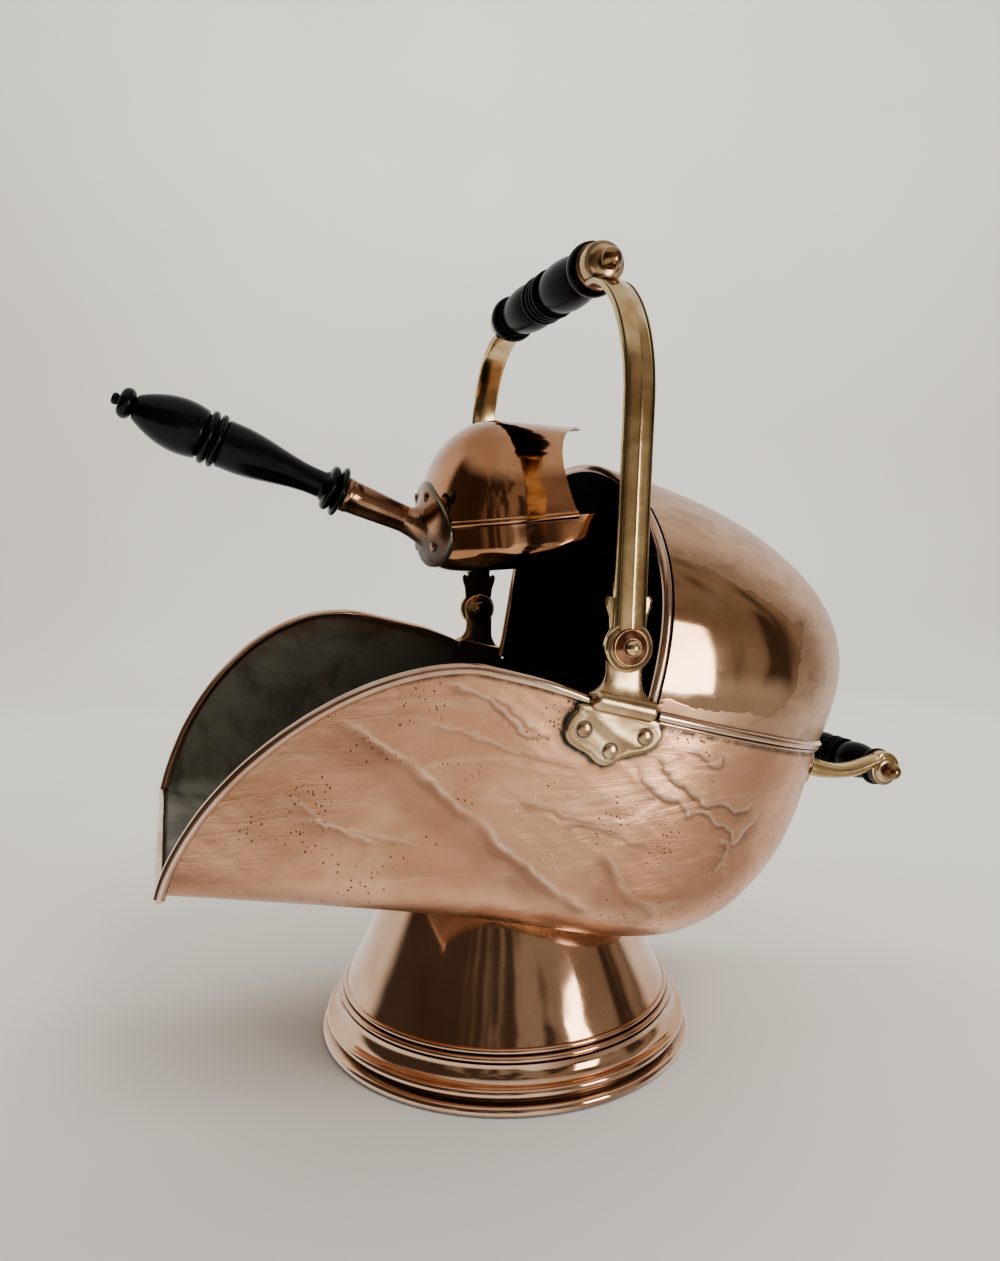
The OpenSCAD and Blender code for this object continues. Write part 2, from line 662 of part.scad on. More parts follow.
// The arm's middle line: straight, then bending in to the boss.
function arm_path() = let (
    reach = arm_mid - boss_in,
    rise = bail_r - boss_r * 0.8 - arm_bend_z,
    last = 85)
  concat(
    [[0, -arm_mid, hub_r * 0.75], [0, -arm_mid, arm_bend_z * 0.5]],
    [for (a = [0 : 8.5 : last]) [0, -arm_mid + reach * (1 - cos(a)), arm_bend_z + rise * sin(a)]]);
// The arm's section: flat inside, bevelled edges and a ridge outside.
function arm_section() = let (w = arm_w / 2, t = arm_t / 2)
  [[t, -w], [t, w], [0.2 * t, w], [-0.55 * t, 0.62 * w], [-0.55 * t, 0.4 * w], [-t, 0],
    [-0.55 * t, -0.4 * w], [-0.55 * t, -0.62 * w], [0.2 * t, -w]];

module bail_boss() {
  translate([0, -boss_in, bail_r]) rotate([90, 0, 0]) union() {
    cylinder(h = boss_t, r = boss_r);
    translate([0, 0, boss_t]) rivet_head(boss_r - 1, boss_dome);
  }
}

// A thin leaf behind the arm's foot, with a cusp at each side.
module arm_leaf() {
  cusp_z = 24;
  cusp_w = 11.8;
  leaf_t = 1.6;
  translate([0, -arm_in, 0]) rotate([90, 0, 0]) linear_extrude(leaf_t)
    polygon([[-8, 4], [-cusp_w + 1.5, 16], [-cusp_w, cusp_z], [-arm_w / 2 + 1, cusp_z - 4], [-arm_w / 2 + 1, cusp_z + 8],
      [arm_w / 2 - 1, cusp_z + 8], [arm_w / 2 - 1, cusp_z - 4], [cusp_w, cusp_z], [cusp_w - 1.5, 16], [8, 4]]);
}

module bail_arm() {
  bail_frame() difference() {
    union() {
      sweep(arm_path(), arm_section(), [1, 0, 0]);
      translate([0, -arm_in, 0]) rotate([90, 0, 0]) cylinder(h = hub_t, r = hub_r);
      arm_leaf();
      bail_boss();
    }
    rotate([90, 0, 0]) cylinder(h = body_w, r = pin_r + running_gap);
    translate([0, 0, bail_r]) rotate([90, 0, 0]) cylinder(h = body_w, r = rod_r + running_gap / 2);
  }
}

module bail_arm_near() {
  color(brass) bail_arm();
}

module bail_arm_far() {
  color(brass) far_side() bail_arm();
}

// A rod along Y with a ball past each end.
module balled_rod(half_l) {
  rotate([90, 0, 0]) translate([0, 0, -half_l]) cylinder(h = 2 * half_l, r = rod_r);
  for (side = [-1, 1]) translate([0, side * (half_l + ball_r * 0.6), 0]) sphere(r = ball_r);
}

module bail_rod() {
  // The ball clears the boss's dome, which has its bore's radius there.
  color(dark_copper) bail_frame() translate([0, 0, bail_r])
    balled_rod(boss_in + boss_t + boss_dome + ball_r * 0.25);
}

module bail_washers() {
  washer_l = 1.8;
  color(dark_copper) bail_frame() translate([0, 0, bail_r]) for (side = [-1, 1])
    rotate([90 * side, 0, 0]) translate([0, 0, grip_l / 2 + 0.2]) difference() {
      cylinder(h = washer_l, r = boss_r + 1);
      translate([0, 0, -1]) cylinder(h = washer_l + 2, r = rod_r + running_gap);
    }
}

// Half a turned grip's outline, from the middle ring to the collar at its end.
function grip_outline(half_l, r) = let (
    ring = half_l * 0.12,
    collar = half_l * 0.075)
  concat(
    bead(0, ring, r * 0.87, r * 0.1),
    [for (i = [0 : 12]) [mix(ring, half_l - collar, i / 12), r * (0.84 + 0.12 * pow(sin(180 * i / 12), 0.7))]],
    bead(half_l - collar, half_l, r * 0.84, r * 0.16));
function bead(z0, z1, r, out) = [for (a = [0 : 22.5 : 180]) [mix(z0, z1, (1 - cos(a)) / 2), r + out * sin(a)]];

// A turned grip along Y, with a bore for its rod.
module grip(half_l, r) {
  half = grip_outline(half_l, r);
  outline = concat(
    [for (i = [len(half) - 1 : -1 : 1]) [half[i][1], -half[i][0]]],
    [for (p = half) [p[1], p[0]]]);
  rotate([90, 0, 0]) difference() {
    rotate_extrude() polygon(concat([[0, -half_l]], outline, [[0, half_l]]));
    cylinder(h = 3 * half_l, r = rod_r + running_gap, center = true);
  }
}

module bail_grip() {
  color(ebony) bail_frame() translate([0, 0, bail_r]) grip(grip_l / 2, grip_r);
}

// ---------------------------------------------------------------- rear handle

rear_boss_in = rear_grip_l / 2 + 0.3;
rear_boss_t = 5;
rear_arm_w = 8;
rear_arm_mid = rear_boss_in + rear_boss_t / 2;
// Station of the wall behind the rear arm, and the rows between which its plate lies
rear_s = 1 - asin(pow(rear_arm_mid / half_w, plan_power / 2)) / 90;
plate_ds = 0.075;
// The plate hangs from just under the band. Its rows on the wall follow from that drop.
plate_drop = band_r + 2 * side_gap;
plate_h = 21;
function row_at(drop) = wall_rows * drop / (seam_h - min(round_h(rear_s), 0.8 * seam_h));
plate_rows = [row_at(plate_drop), row_at(plate_drop + plate_h)];
root_row = row_at(plate_drop + plate_h * 0.42);
rear_plate_t = 2.8;
// Height of the rear arm's section at the wall and at the boss, and how far its middle line dips
rear_root_h = 12;
rear_end_h = 7.5;
rear_dip = 4.5;
// Height of the dome on the rear arm's boss
rear_dome = 3;

// Middle line of the rear arm in the X-Z plane, from the wall (t = 0) to the grip's axis (t = 1).
function rear_line(t) = let (root = tilt_point(wall_point(rear_s, root_row, -1, -1)))
  [mix(root[0] - 1, rear_x - boss_r * 0.5, t),
    mix(root[2], rear_z + boss_r * 0.5, smooth(t)) - rear_dip * sin(180 * t)];
function rear_depth(t) = mix(rear_root_h, rear_end_h, smooth(t * 2.2));

module rear_arm_outline() {
  steps = 14;
  union() {
    polygon(concat(
      [for (i = [0 : steps]) let (p = rear_line(i / steps)) p + [0, rear_depth(i / steps) / 2]],
      [for (i = [steps : -1 : 0]) let (p = rear_line(i / steps)) p - [0, rear_depth(i / steps) / 2]]));
  }
}

module rear_bracket() {
  // The arm ends inside its plate, which is cut to the wall's own curve.
  foot = tilt_point(wall_point(rear_s, root_row, -1, -rear_plate_t / 2));
  n = wall_normal(rear_s, root_row);
  ahead = [n[0] * cos(body_tilt) + n[2] * sin(body_tilt), n[1], -n[0] * sin(body_tilt) + n[2] * cos(body_tilt)];
  difference() {
    union() {
      tilted() wall_patch(rear_s - plate_ds, rear_s + plate_ds, plate_rows[0], plate_rows[1],
        -rear_plate_t, -seat_gap);
      difference() {
        translate([0, -rear_arm_mid + rear_arm_w / 2, 0]) rotate([90, 0, 0])
          linear_extrude(rear_arm_w) rear_arm_outline();
        aim(foot, -ahead) translate([-half_w, -half_w, 0]) cube([body_w, body_w, body_w]);
      }
      translate([rear_x, -rear_boss_in, rear_z]) rotate([90, 0, 0]) union() {
        cylinder(h = rear_boss_t, r = boss_r);
        translate([0, 0, rear_boss_t]) rivet_head(boss_r - 1, rear_dome);
      }
    }
    translate([rear_x, 0, rear_z]) rotate([90, 0, 0]) cylinder(h = body_w, r = rod_r + running_gap / 2);
    // The grip's end stays clear of the arm.
    translate([rear_x, 0, rear_z]) rotate([90, 0, 0]) cylinder(h = rear_boss_in, r = rear_grip_r + 1);
  }
}

module rear_bracket_near() {
  color(brass) rear_bracket();
}

module rear_bracket_far() {
  color(brass) far_side() rear_bracket();
}

module rear_rivets() {
  module rivets() {
    tilted() for (s = [rear_s - plate_ds * 0.72, rear_s + plate_ds * 0.62])
      aim(wall_point(s, root_row, -1, -rear_plate_t - seat_gap), wall_normal(s, root_row)) rivet_head(2.2, 1.4);
  }
  color(brass) {
    rivets();
    far_side() rivets();
  }
}

module rear_rod() {
  color(dark_copper) translate([rear_x, 0, rear_z])
    balled_rod(rear_boss_in + rear_boss_t + rear_dome + ball_r * 0.25);
}

module rear_grip() {
  color(ebony) translate([rear_x, 0, rear_z]) grip(rear_grip_l / 2, rear_grip_r);
}

// ---------------------------------------------------------------- shovel

// Where the pan's back meets its floor
shovel_x = -46;
rivets_u = 40;
shovel_z = tilt_point([rivets_u, 0, roof_v(rivets_u)])[2] - shovel_drop;
pan_half = pan_w / 2;
pan_round = 14;
// Where the pan's sides start to come down towards its edge, from its back
slope_from = 85;
// Thickness of the shovel's sheet, and radius of the band between pan and bonnet
shovel_t = 1.2;
shovel_band_r = 2.2;

function to_world(p) = let (c = cos(pan_pitch), s = sin(pan_pitch))
  [shovel_x + p[0] * c - p[2] * s, p[1], shovel_z + p[0] * s + p[2] * c];

// Places what follows in the shovel's frame: x from the pan's back to its edge, z up from its floor.
module shovel_frame() {
  translate([shovel_x, 0, shovel_z]) rotate([0, -pan_pitch, 0]) children();
}

function pan_stations() = concat([for (i = [0 : 12]) i / 13 - 1], [for (i = [0 : 12]) i / 12]);
// Outline of the pan with u running towards its back.
function pan_plan(s) = s < 0
  ? [mix(-pan_back, -pan_l, -s), -pan_half]
  : [-pan_back + pan_back * pow(sin(90 * s), 2 / plan_power), -pan_half * pow(cos(90 * s), 2 / plan_power)];
function pan_normal(s) = let (d = pan_plan(min(s + 0.001, 1)) - pan_plan(max(s - 0.001, -1)))
  s >= 1 ? [1, 0] : [d[1], -d[0]] / norm(d);
function pan_top(u) = mix(3, pan_h, sqrt(max(1 - pow(max(-u - slope_from, 0) / (pan_l - slope_from), 2), 0)));
function pan_point(s, row, side, t) = let (
    p = pan_plan(s),
    n = pan_normal(s),
    top = pan_top(p[0]),
    h = min(pan_round, 0.8 * (top - t)),
    turn = 90 * max(row - 2, 0) / 5,
    v = row <= 2 ? mix(top, t + h, row / 2) : t + h * (1 - sin(turn)),
    inset = h * (1 - cos(turn)) + t)
  [p[0] - n[0] * inset, -side * (p[1] - n[1] * inset), v];
function pan_column(s, side, t) = [for (row = [0 : 7]) pan_point(s, row, side, t)];
function pan_skin(t) = let (s = pan_stations(), n = len(s)) concat(
  [for (i = [0 : n - 1]) pan_column(s[i], -1, t)],
  [for (i = [n - 2 : -1 : 0]) pan_column(s[i], 1, t)]);

module shovel_pan() {
  color(copper) shovel_frame() rotate([0, 0, 180]) trough_shell(pan_skin(0), pan_skin(shovel_t));
}

bonnet_rows = 10;
bonnet_columns = 28;
bonnet_flat = 5;
// How far the bonnet's ridge reaches out past its sides, and how far its edge hollows between them
bonnet_tip = 28;
bonnet_hollow = 18;
// A point of the bonnet: rows go up, columns from the near front round the back to the far front.
function bonnet_point(k, j, t) = let (
    turn = 90 * k / bonnet_rows,
    h = (bonnet_h - t) * sin(turn),
    fill = k == bonnet_rows ? 0 : pow(cos(turn), 1 / 1.05),
    c = min(j, bonnet_columns - j),
    side = j < bonnet_columns / 2 ? -1 : 1,
    a = max(c - bonnet_flat, 0) / (bonnet_columns / 2 - bonnet_flat) * 90,
    edge = bonnet_l + bonnet_tip * pow(sin(turn), 1.27) - bonnet_hollow * sin(2 * turn),
    u = c <= bonnet_flat
      ? mix(-edge, -pan_back, c / bonnet_flat)
      : -pan_back + (pan_back - t) * max(fill, 0.06) * pow(sin(a), 2 / plan_power),
    // The ridge comes down a little towards the edge.
    fall = 0.14 * max(-pan_back - u, 0) * pow(sin(turn), 3))
  [u, side * (pan_half - t) * fill * pow(cos(a), 2 / plan_power), pan_h + seat_gap + h - fall];
function bonnet_skin(t) =
  [for (k = [0 : bonnet_rows]) [for (j = [0 : bonnet_columns]) bonnet_point(k, j, t)]];

module shovel_bonnet() {
  color(copper) shovel_frame() rotate([0, 0, 180]) dome_shell(bonnet_skin(0), bonnet_skin(shovel_t));
}

module shovel_band() {
  ends = [-bonnet_l, -pan_half];
  near = concat([[each ends, pan_h]], [for (i = [0 : 12]) [each pan_plan(i / 12), pan_h]]);
  far = [for (i = [len(near) - 2 : -1 : 0]) [near[i][0], -near[i][1], pan_h]];
  section = [for (a = [-90 : 30 : 90]) [seat_gap + shovel_band_r * 0.7 * cos(a), shovel_band_r * sin(a)]];
  color(copper) shovel_frame() rotate([0, 0, 180]) difference() {
    sweep(concat(near, far), section, [0, 0, 1]);
    // The socket's plate comes through the band at the back.
    translate([-8, -plate_half - side_gap, 0]) cube([20, 2 * (plate_half + side_gap), 2 * pan_h]);
  }
}

// The cast plate on the shovel's back: half its width, and how far it reaches under and over the seam
plate_half = 34;
plate_low = -20;
plate_high = 26;
// Its outline, a broad shield, as shares of the half width and of the reach over or under the seam
plate_top = [[0, 1], [0.42, 0.85], [0.76, 0.5], [1, 0]];
plate_foot = [[0.96, 0.55], [0.65, 0.9], [0, 1]];
function plate_outline() = let (right = concat(
    [for (p = plate_top) [p[0] * plate_half, p[1] * plate_high]],
    [for (p = plate_foot) [p[0] * plate_half, p[1] * plate_low]]))
  concat(right, [for (i = [len(right) - 2 : -1 : 1]) [-right[i][0], right[i][1]]]);
socket_at = [0, 0, pan_h];
socket_r = [7.6, 10];
shovel_plate_t = 3;

// Places what follows at the middle of the shovel's back, x along the handle.
module handle_frame() {
  translate(to_world(socket_at)) rotate([0, handle_pitch, 0]) rotate([0, 0, 180]) children();
}

module shovel_socket() {
  // The plate bends round the pan's back, so it is cut from a thick block by the shape behind it.
  color(brass) difference() {
    union() {
      shovel_frame() intersection() {
        translate([-shovel_plate_t - 1, 0, pan_h]) rotate([90, 0, 90]) linear_extrude(pan_back * 0.5)
          polygon(plate_outline());
        back_space(shovel_plate_t);
      }
      handle_frame() translate([1.5, 0, 0]) rotate([0, 90, 0]) union() {
        cylinder(h = socket_l - 1.5, r1 = socket_r[0], r2 = socket_r[1]);
        cylinder(h = 5, r1 = socket_r[0] + 3.5, r2 = socket_r[0]);
      }
    }
    back_space(seat_gap, true);
    handle_frame() translate([socket_l - 20, 0, 0]) rotate([0, 90, 0])
      cylinder(h = 30, r = tang_r + running_gap);
  }
}
tang_r = 4;

// The space inside the shovel's back, grown outward by a distance.
module back_space(grow, world = false) {
  module space() {
    rotate([0, 0, 180]) union() {
      // Below the band: the pan's upright back
      translate([-pan_back, 0, pan_round * 0.5]) linear_extrude(pan_h + shovel_band_r - pan_round * 0.5)
        polygon([for (s = [-1 : 0.05 : 1]) let (a = 90 * s) [(pan_back + grow) * pow(cos(a), 2 / plan_power),
          sign(s) * (pan_half + grow) * pow(abs(sin(a)), 2 / plan_power)]]);
      // Above it: the bonnet's back
      dome_block(grow);
    }
  }
  if (world) shovel_frame() space();
  else space();
}

module dome_block(grow) {
  rows = 8;
  steps = 16;
  function block_point(k, i) = let (
      turn = 70 * k / rows,
      fill = pow(cos(turn), 1 / 1.05),
      a = 180 * i / steps - 90)
    [-pan_back + (pan_back * fill + grow) * pow(cos(a), 2 / plan_power),
      sign(a) * (pan_half * fill + grow) * pow(abs(sin(a)), 2 / plan_power), pan_h + bonnet_h * sin(turn)];
  count = steps + 1;
  points = [for (k = [0 : rows]) for (i = [0 : steps]) block_point(k, i)];
  faces = concat(
    [for (k = [0 : rows - 1]) for (i = [0 : steps]) let (n = (i + 1) % count)
      each quad(k * count + i, (k + 1) * count + i, (k + 1) * count + n, k * count + n)],
    [[for (i = [0 : steps]) i]],
    [[for (i = [steps : -1 : 0]) rows * count + i]]);
  polyhedron(points = points, faces = faces);
}

// How far the plate's outer face lies in from the shovel's back, at y and at a height over the seam
function plate_face(y, h) = let (
    fill = h <= 0 ? 1 : pow(cos(asin(h / bonnet_h)), 1 / 1.05),
    share = abs(y) / (pan_half * fill + shovel_plate_t))
  pan_back - (pan_back * fill + shovel_plate_t) * pow(1 - pow(share, plan_power), 1 / plan_power);

// Two rivets on each half of the plate, as shares of the half width and heights over the seam
plate_rivets = [[0.32, plate_high * 0.66], [0.57, plate_low * 0.55]];

module shovel_rivets() {
  rivet_gap = 0.25;
  step = 0.5;
  color(brass) shovel_frame() for (side = [-1, 1], spot = plate_rivets) {
    y = side * spot[0] * plate_half;
    h = spot[1];
    slope_y = (plate_face(y + step, h) - plate_face(y - step, h)) / (2 * step);
    slope_h = (plate_face(y, h + step) - plate_face(y, h - step)) / (2 * step);
    outward = [-1, slope_y, slope_h] / norm([-1, slope_y, slope_h]);
    translate([plate_face(y, h), y, pan_h + h] + rivet_gap * outward)
      rotate([0, acos(outward[2]), atan2(outward[1], outward[0])]) rivet_head(2.6, 1.6);
  }
}

// The turned handle, from the socket (x = 0) to its butt.
function handle_outline() = let (r = handle_r, l = handle_l) concat(
  [[0, 0]],
  bead(0, 0.085 * l, r * 0.62, r * 0.34),
  [for (i = [1 : 14]) let (t = i / 14) [mix(0.1, 0.54, t) * l, mix(r * 0.5, r * 0.88, smooth(t * 1.25 - 0.1))]],
  bead(0.545 * l, 0.62 * l, r * 0.78, r * 0.22),
  [for (i = [0 : 10]) let (t = i / 10) [mix(0.63, 0.905, t) * l, r * (0.3 + 0.69 * pow(sin(mix(58, 172, t)), 0.8))]],
  bead(0.91 * l, 0.97 * l, r * 0.3, r * 0.26),
  bead(0.97 * l, l, r * 0.1, r * 0.12),
  [[l, 0]]);

module shovel_handle() {
  color(ebony) handle_frame() translate([socket_l + seat_gap, 0, 0]) rotate([0, 90, 0]) union() {
    rotate_extrude() polygon([for (p = handle_outline()) [p[1], p[0]]]);
    translate([0, 0, -18]) cylinder(h = 20, r = tang_r);
  }
}

// ---------------------------------------------------------------- hangers for the shovel

hanger_r = 2;
// Radius of the round corners of the hangers
joint_r = hanger_r + 0.2;
tab_t = 2;
tab_half = 12;
tab_l = 12;
// Gap between the tab's middle and the curved roof, which comes down towards the tab's corners
tab_gap = 0.6;
// Where along the pan each hanger's bar lies, and half the width between its legs
front_bar = [143, pan_half + hanger_r + side_gap];
rear_bar = [165, 24];

// Middle of the tab under the roof for a bar at a place along the pan.
function tab_at(place) = let (
    p = untilt_point(to_world([place, 0, pan_h])),
    v = roof_v(p[0] + 4))
  [p[0] + 4, 0, v - tab_gap - tab_t / 2];
function roof_slope(u) = atan2(roof_v(u + 2) - roof_v(u - 2), 4);

module hanger_tab(place) {
  p = tab_at(place);
  tilted() translate(p) rotate([0, -roof_slope(p[0]), 0]) cube([tab_l, 2 * tab_half, tab_t], center = true);
}

// A bar under or over the pan's floor, held by two legs from the tab.
module hanger(place, half, bar_z, shoulder_z) {
  tab = tab_at(place);
  for (side = [-1, 1]) {
    top = tilt_point([tab[0], side * (tab_half - hanger_r), tab[2] - hanger_r * 0.6]);
    shoulder = to_world([place, side * half, shoulder_z]);
    foot = to_world([place, side * half, bar_z]);
    rod(top, shoulder, hanger_r);
    rod(shoulder, foot, hanger_r);
    for (p = [shoulder, foot]) translate(p) sphere(r = joint_r);
  }
  rod(to_world([place, -half, bar_z]), to_world([place, half, bar_z]), hanger_r);
  hanger_tab(place);
}

module front_hanger() {
  color(dark_copper) hanger(front_bar[0], front_bar[1], -hanger_r - side_gap, pan_top(-front_bar[0]) + hanger_r);
}

module rear_hanger() {
  color(dark_copper) hanger(rear_bar[0], rear_bar[1], shovel_t + hanger_r + side_gap, shovel_t + hanger_r + 12);
}

module hanger_rivets() {
  color(dark_copper) tilted() for (place = [front_bar[0], rear_bar[0]]) for (side = [-1, 1]) {
    p = tab_at(place);
    slope = roof_slope(p[0]);
    translate([p[0], side * 6, roof_v(p[0]) + sheet_t + seat_gap]) rotate([0, -slope, 0]) rivet_head(3, 1.3);
  }
}

trough();
hood();
wing_wire(-1);  // wing_wire_near
wing_wire(1);  // wing_wire_far
lip_wire();
arch_wire();
seam_band();
foot_ring();
foot_cone();
bracket_near();
bracket_far();
bracket_rivets();
pivot_pin_near();
pivot_pin_far();
pivot_washers();
pivot_nuts();
bail_arm_near();
bail_arm_far();
bail_rod();
bail_washers();
bail_grip();
rear_bracket_near();
rear_bracket_far();
rear_rivets();
rear_rod();
rear_grip();
shovel_pan();
shovel_bonnet();
shovel_band();
shovel_socket();
shovel_rivets();
shovel_handle();
front_hanger();
rear_hanger();
hanger_rivets();
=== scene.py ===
import bpy
import bmesh
import math
import numpy as np
from mathutils import Matrix, Vector


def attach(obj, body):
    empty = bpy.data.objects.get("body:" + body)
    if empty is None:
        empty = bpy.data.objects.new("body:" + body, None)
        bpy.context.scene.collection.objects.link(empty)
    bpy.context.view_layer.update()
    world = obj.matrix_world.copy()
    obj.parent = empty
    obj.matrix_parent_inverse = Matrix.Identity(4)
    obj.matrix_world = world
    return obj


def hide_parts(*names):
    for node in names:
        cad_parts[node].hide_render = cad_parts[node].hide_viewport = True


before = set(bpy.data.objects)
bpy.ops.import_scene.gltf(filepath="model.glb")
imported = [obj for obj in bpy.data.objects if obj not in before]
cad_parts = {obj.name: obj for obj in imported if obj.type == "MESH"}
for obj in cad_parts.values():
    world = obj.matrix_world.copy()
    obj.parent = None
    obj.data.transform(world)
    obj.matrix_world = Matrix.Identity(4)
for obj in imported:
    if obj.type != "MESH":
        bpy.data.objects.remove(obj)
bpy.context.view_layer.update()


# ------------------------------------------------------------ numbers, in millimetres

# The body has its own frame, which leans back on the foot: u runs to the rear and v up from the trough's floor
TILT = math.radians(15.0)
FOOT_H = 90.7
# The trough: its seam, its half widths, and how far it reaches forward and back
SEAM_H = 125.3
HALF_W = 123.0
LIP_HALF = 106.0
LIP_REACH = 207.5
REAR_REACH = 162.0
ARCH_U = 8.0
# Stations along the wall run from -1 at the lip over 0 at the arch to 1 at the rear. The sides are parallel from
# the arch forward to this one.
STRAIGHT_U = -48.0
STRAIGHT_S = -0.25
# How far the wall leans out over the seam's height, and how its corner with the floor is rounded
FLARE = 6.0
SIDE_ROUND = 34.0
LIP_ROUND = 7.0
REAR_ROUND_W = 104.0
REAR_ROUND_H = 118.0
# A rounded corner's run, as a share of its height
CORNER_RUN = 1.45
# The power that makes a circle into the fuller curve of the plans and the hood
FULLNESS = 2.2
SHEET_T = 1.2
WIRE_R = 2.8
ARCH_WIRE_R = 2.6
BAND_R = 3.8
# The gaps between pieces that are fixed to each other, and that turn on each other
SEAT = 0.1
GAP = 0.3
# The hood
HOOD_H = 131.0
BELLY = 34.0
BROW = 22.0
SIDE_SWELL = 2.0
REAR_SWELL = 4.0
# The bail and the rear handle
PIVOT = np.array([22.4, 0.0, 246.7])
BAIL_R = 195.0
BAIL_LEAN = math.radians(2.3)
REAR_AXIS = np.array([243.0, 0.0, 149.0])
# The foot
CONE_R = 97.5
CONE_SLOPE = 0.476
RING_H = 31.0
NEAR, FAR = -1, 1
# A sheet has two skins, its outside (0) and its inside (1), that lie this far in
SKINS = ((0, 0.0), (1, SHEET_T))
# Keeps a division by a length away from zero
TINY = 1e-12
# Metres in a millimetre
MM = 0.001
# Half the breadth of a dark ring of painted shade on a turned piece
DARK_RING_W = 0.35


def smooth(t):
    k = np.clip(t, 0.0, 1.0)
    return k * k * (3.0 - 2.0 * k)


def power(base, exponent):
    return np.sign(base) * np.abs(base) ** exponent


def full(part):
    """A circle's sine or cosine, made into that of a fuller curve."""
    return power(part, 2 / FULLNESS)


def hump(d, width):
    return np.exp(-(d / width) ** 2)


def ramp(d, width):
    """From 0 before to 1 behind, over about this width."""
    return 1 / (1 + np.exp(-np.clip(d / width, -30, 30)))


def unit(v):
    return v / np.linalg.norm(v, axis=-1, keepdims=True)


def stack(*parts):
    return np.stack(np.broadcast_arrays(*[np.asarray(p, float) for p in parts]), -1)


def leaning(p):
    """From the body's own frame, which leans back on the foot, to the world."""
    p = np.asarray(p, float)
    u, y, v = p[..., 0], p[..., 1], p[..., 2]
    c, s = math.cos(TILT), math.sin(TILT)
    return stack(u * c + v * s, y, FOOT_H - u * s + v * c)


def bail_place(p):
    """From the bail's frame, between its pivots with z along the arms, to the world."""
    p = np.asarray(p, float)
    c, s = math.cos(BAIL_LEAN), math.sin(BAIL_LEAN)
    return stack(p[..., 0] * c + p[..., 2] * s, p[..., 1], -p[..., 0] * s + p[..., 2] * c) + PIVOT


def sideways(p, side):
    """Lays the axis of a turned piece across, outward to its side."""
    return stack(p[..., 0], side * p[..., 2], side * p[..., 1])


def on_pivot(side):
    return lambda p: sideways(p, side) + PIVOT


def on_bail(side, height):
    """Puts turned pieces on the bail, at a height over its pivots."""
    return lambda p: bail_place(sideways(p, side) + np.array([0, 0, height]))


def on_rear(side):
    return lambda p: sideways(p, side) + REAR_AXIS


class Ripple:
    """Smooth seeded unevenness in space, between -1 and 1."""

    CELLS = 24
    SHIFT = 7.3

    def __init__(self, seed):
        self.lattice = np.random.default_rng(seed).uniform(-1, 1, (self.CELLS,) * 3)

    def __call__(self, p, size, depth=1):
        p = np.asarray(p, float)
        if p.shape[-1] == 2:
            p = np.concatenate([p, np.zeros(p.shape[:-1] + (1,))], -1)
        total, weight = 0.0, 0.0
        for octave in range(depth):
            share = 0.5 ** octave
            total = total + share * self.layer(p * 2.0 ** octave / size + self.SHIFT * octave)
            weight += share
        return total / weight

    def layer(self, q):
        low = np.floor(q).astype(int)
        f = smooth(q - low)
        value = 0.0
        for corner in range(8):
            bits = [(corner >> a) & 1 for a in range(3)]
            part = self.lattice[tuple((low[..., a] + bits[a]) % self.CELLS for a in range(3))]
            for a in range(3):
                part = part * (f[..., a] if bits[a] else 1.0 - f[..., a])
            value = value + part
        return value


dents = Ripple(11)
waves = Ripple(23)
flecks = Ripple(37)


# ------------------------------------------------------------ making meshes

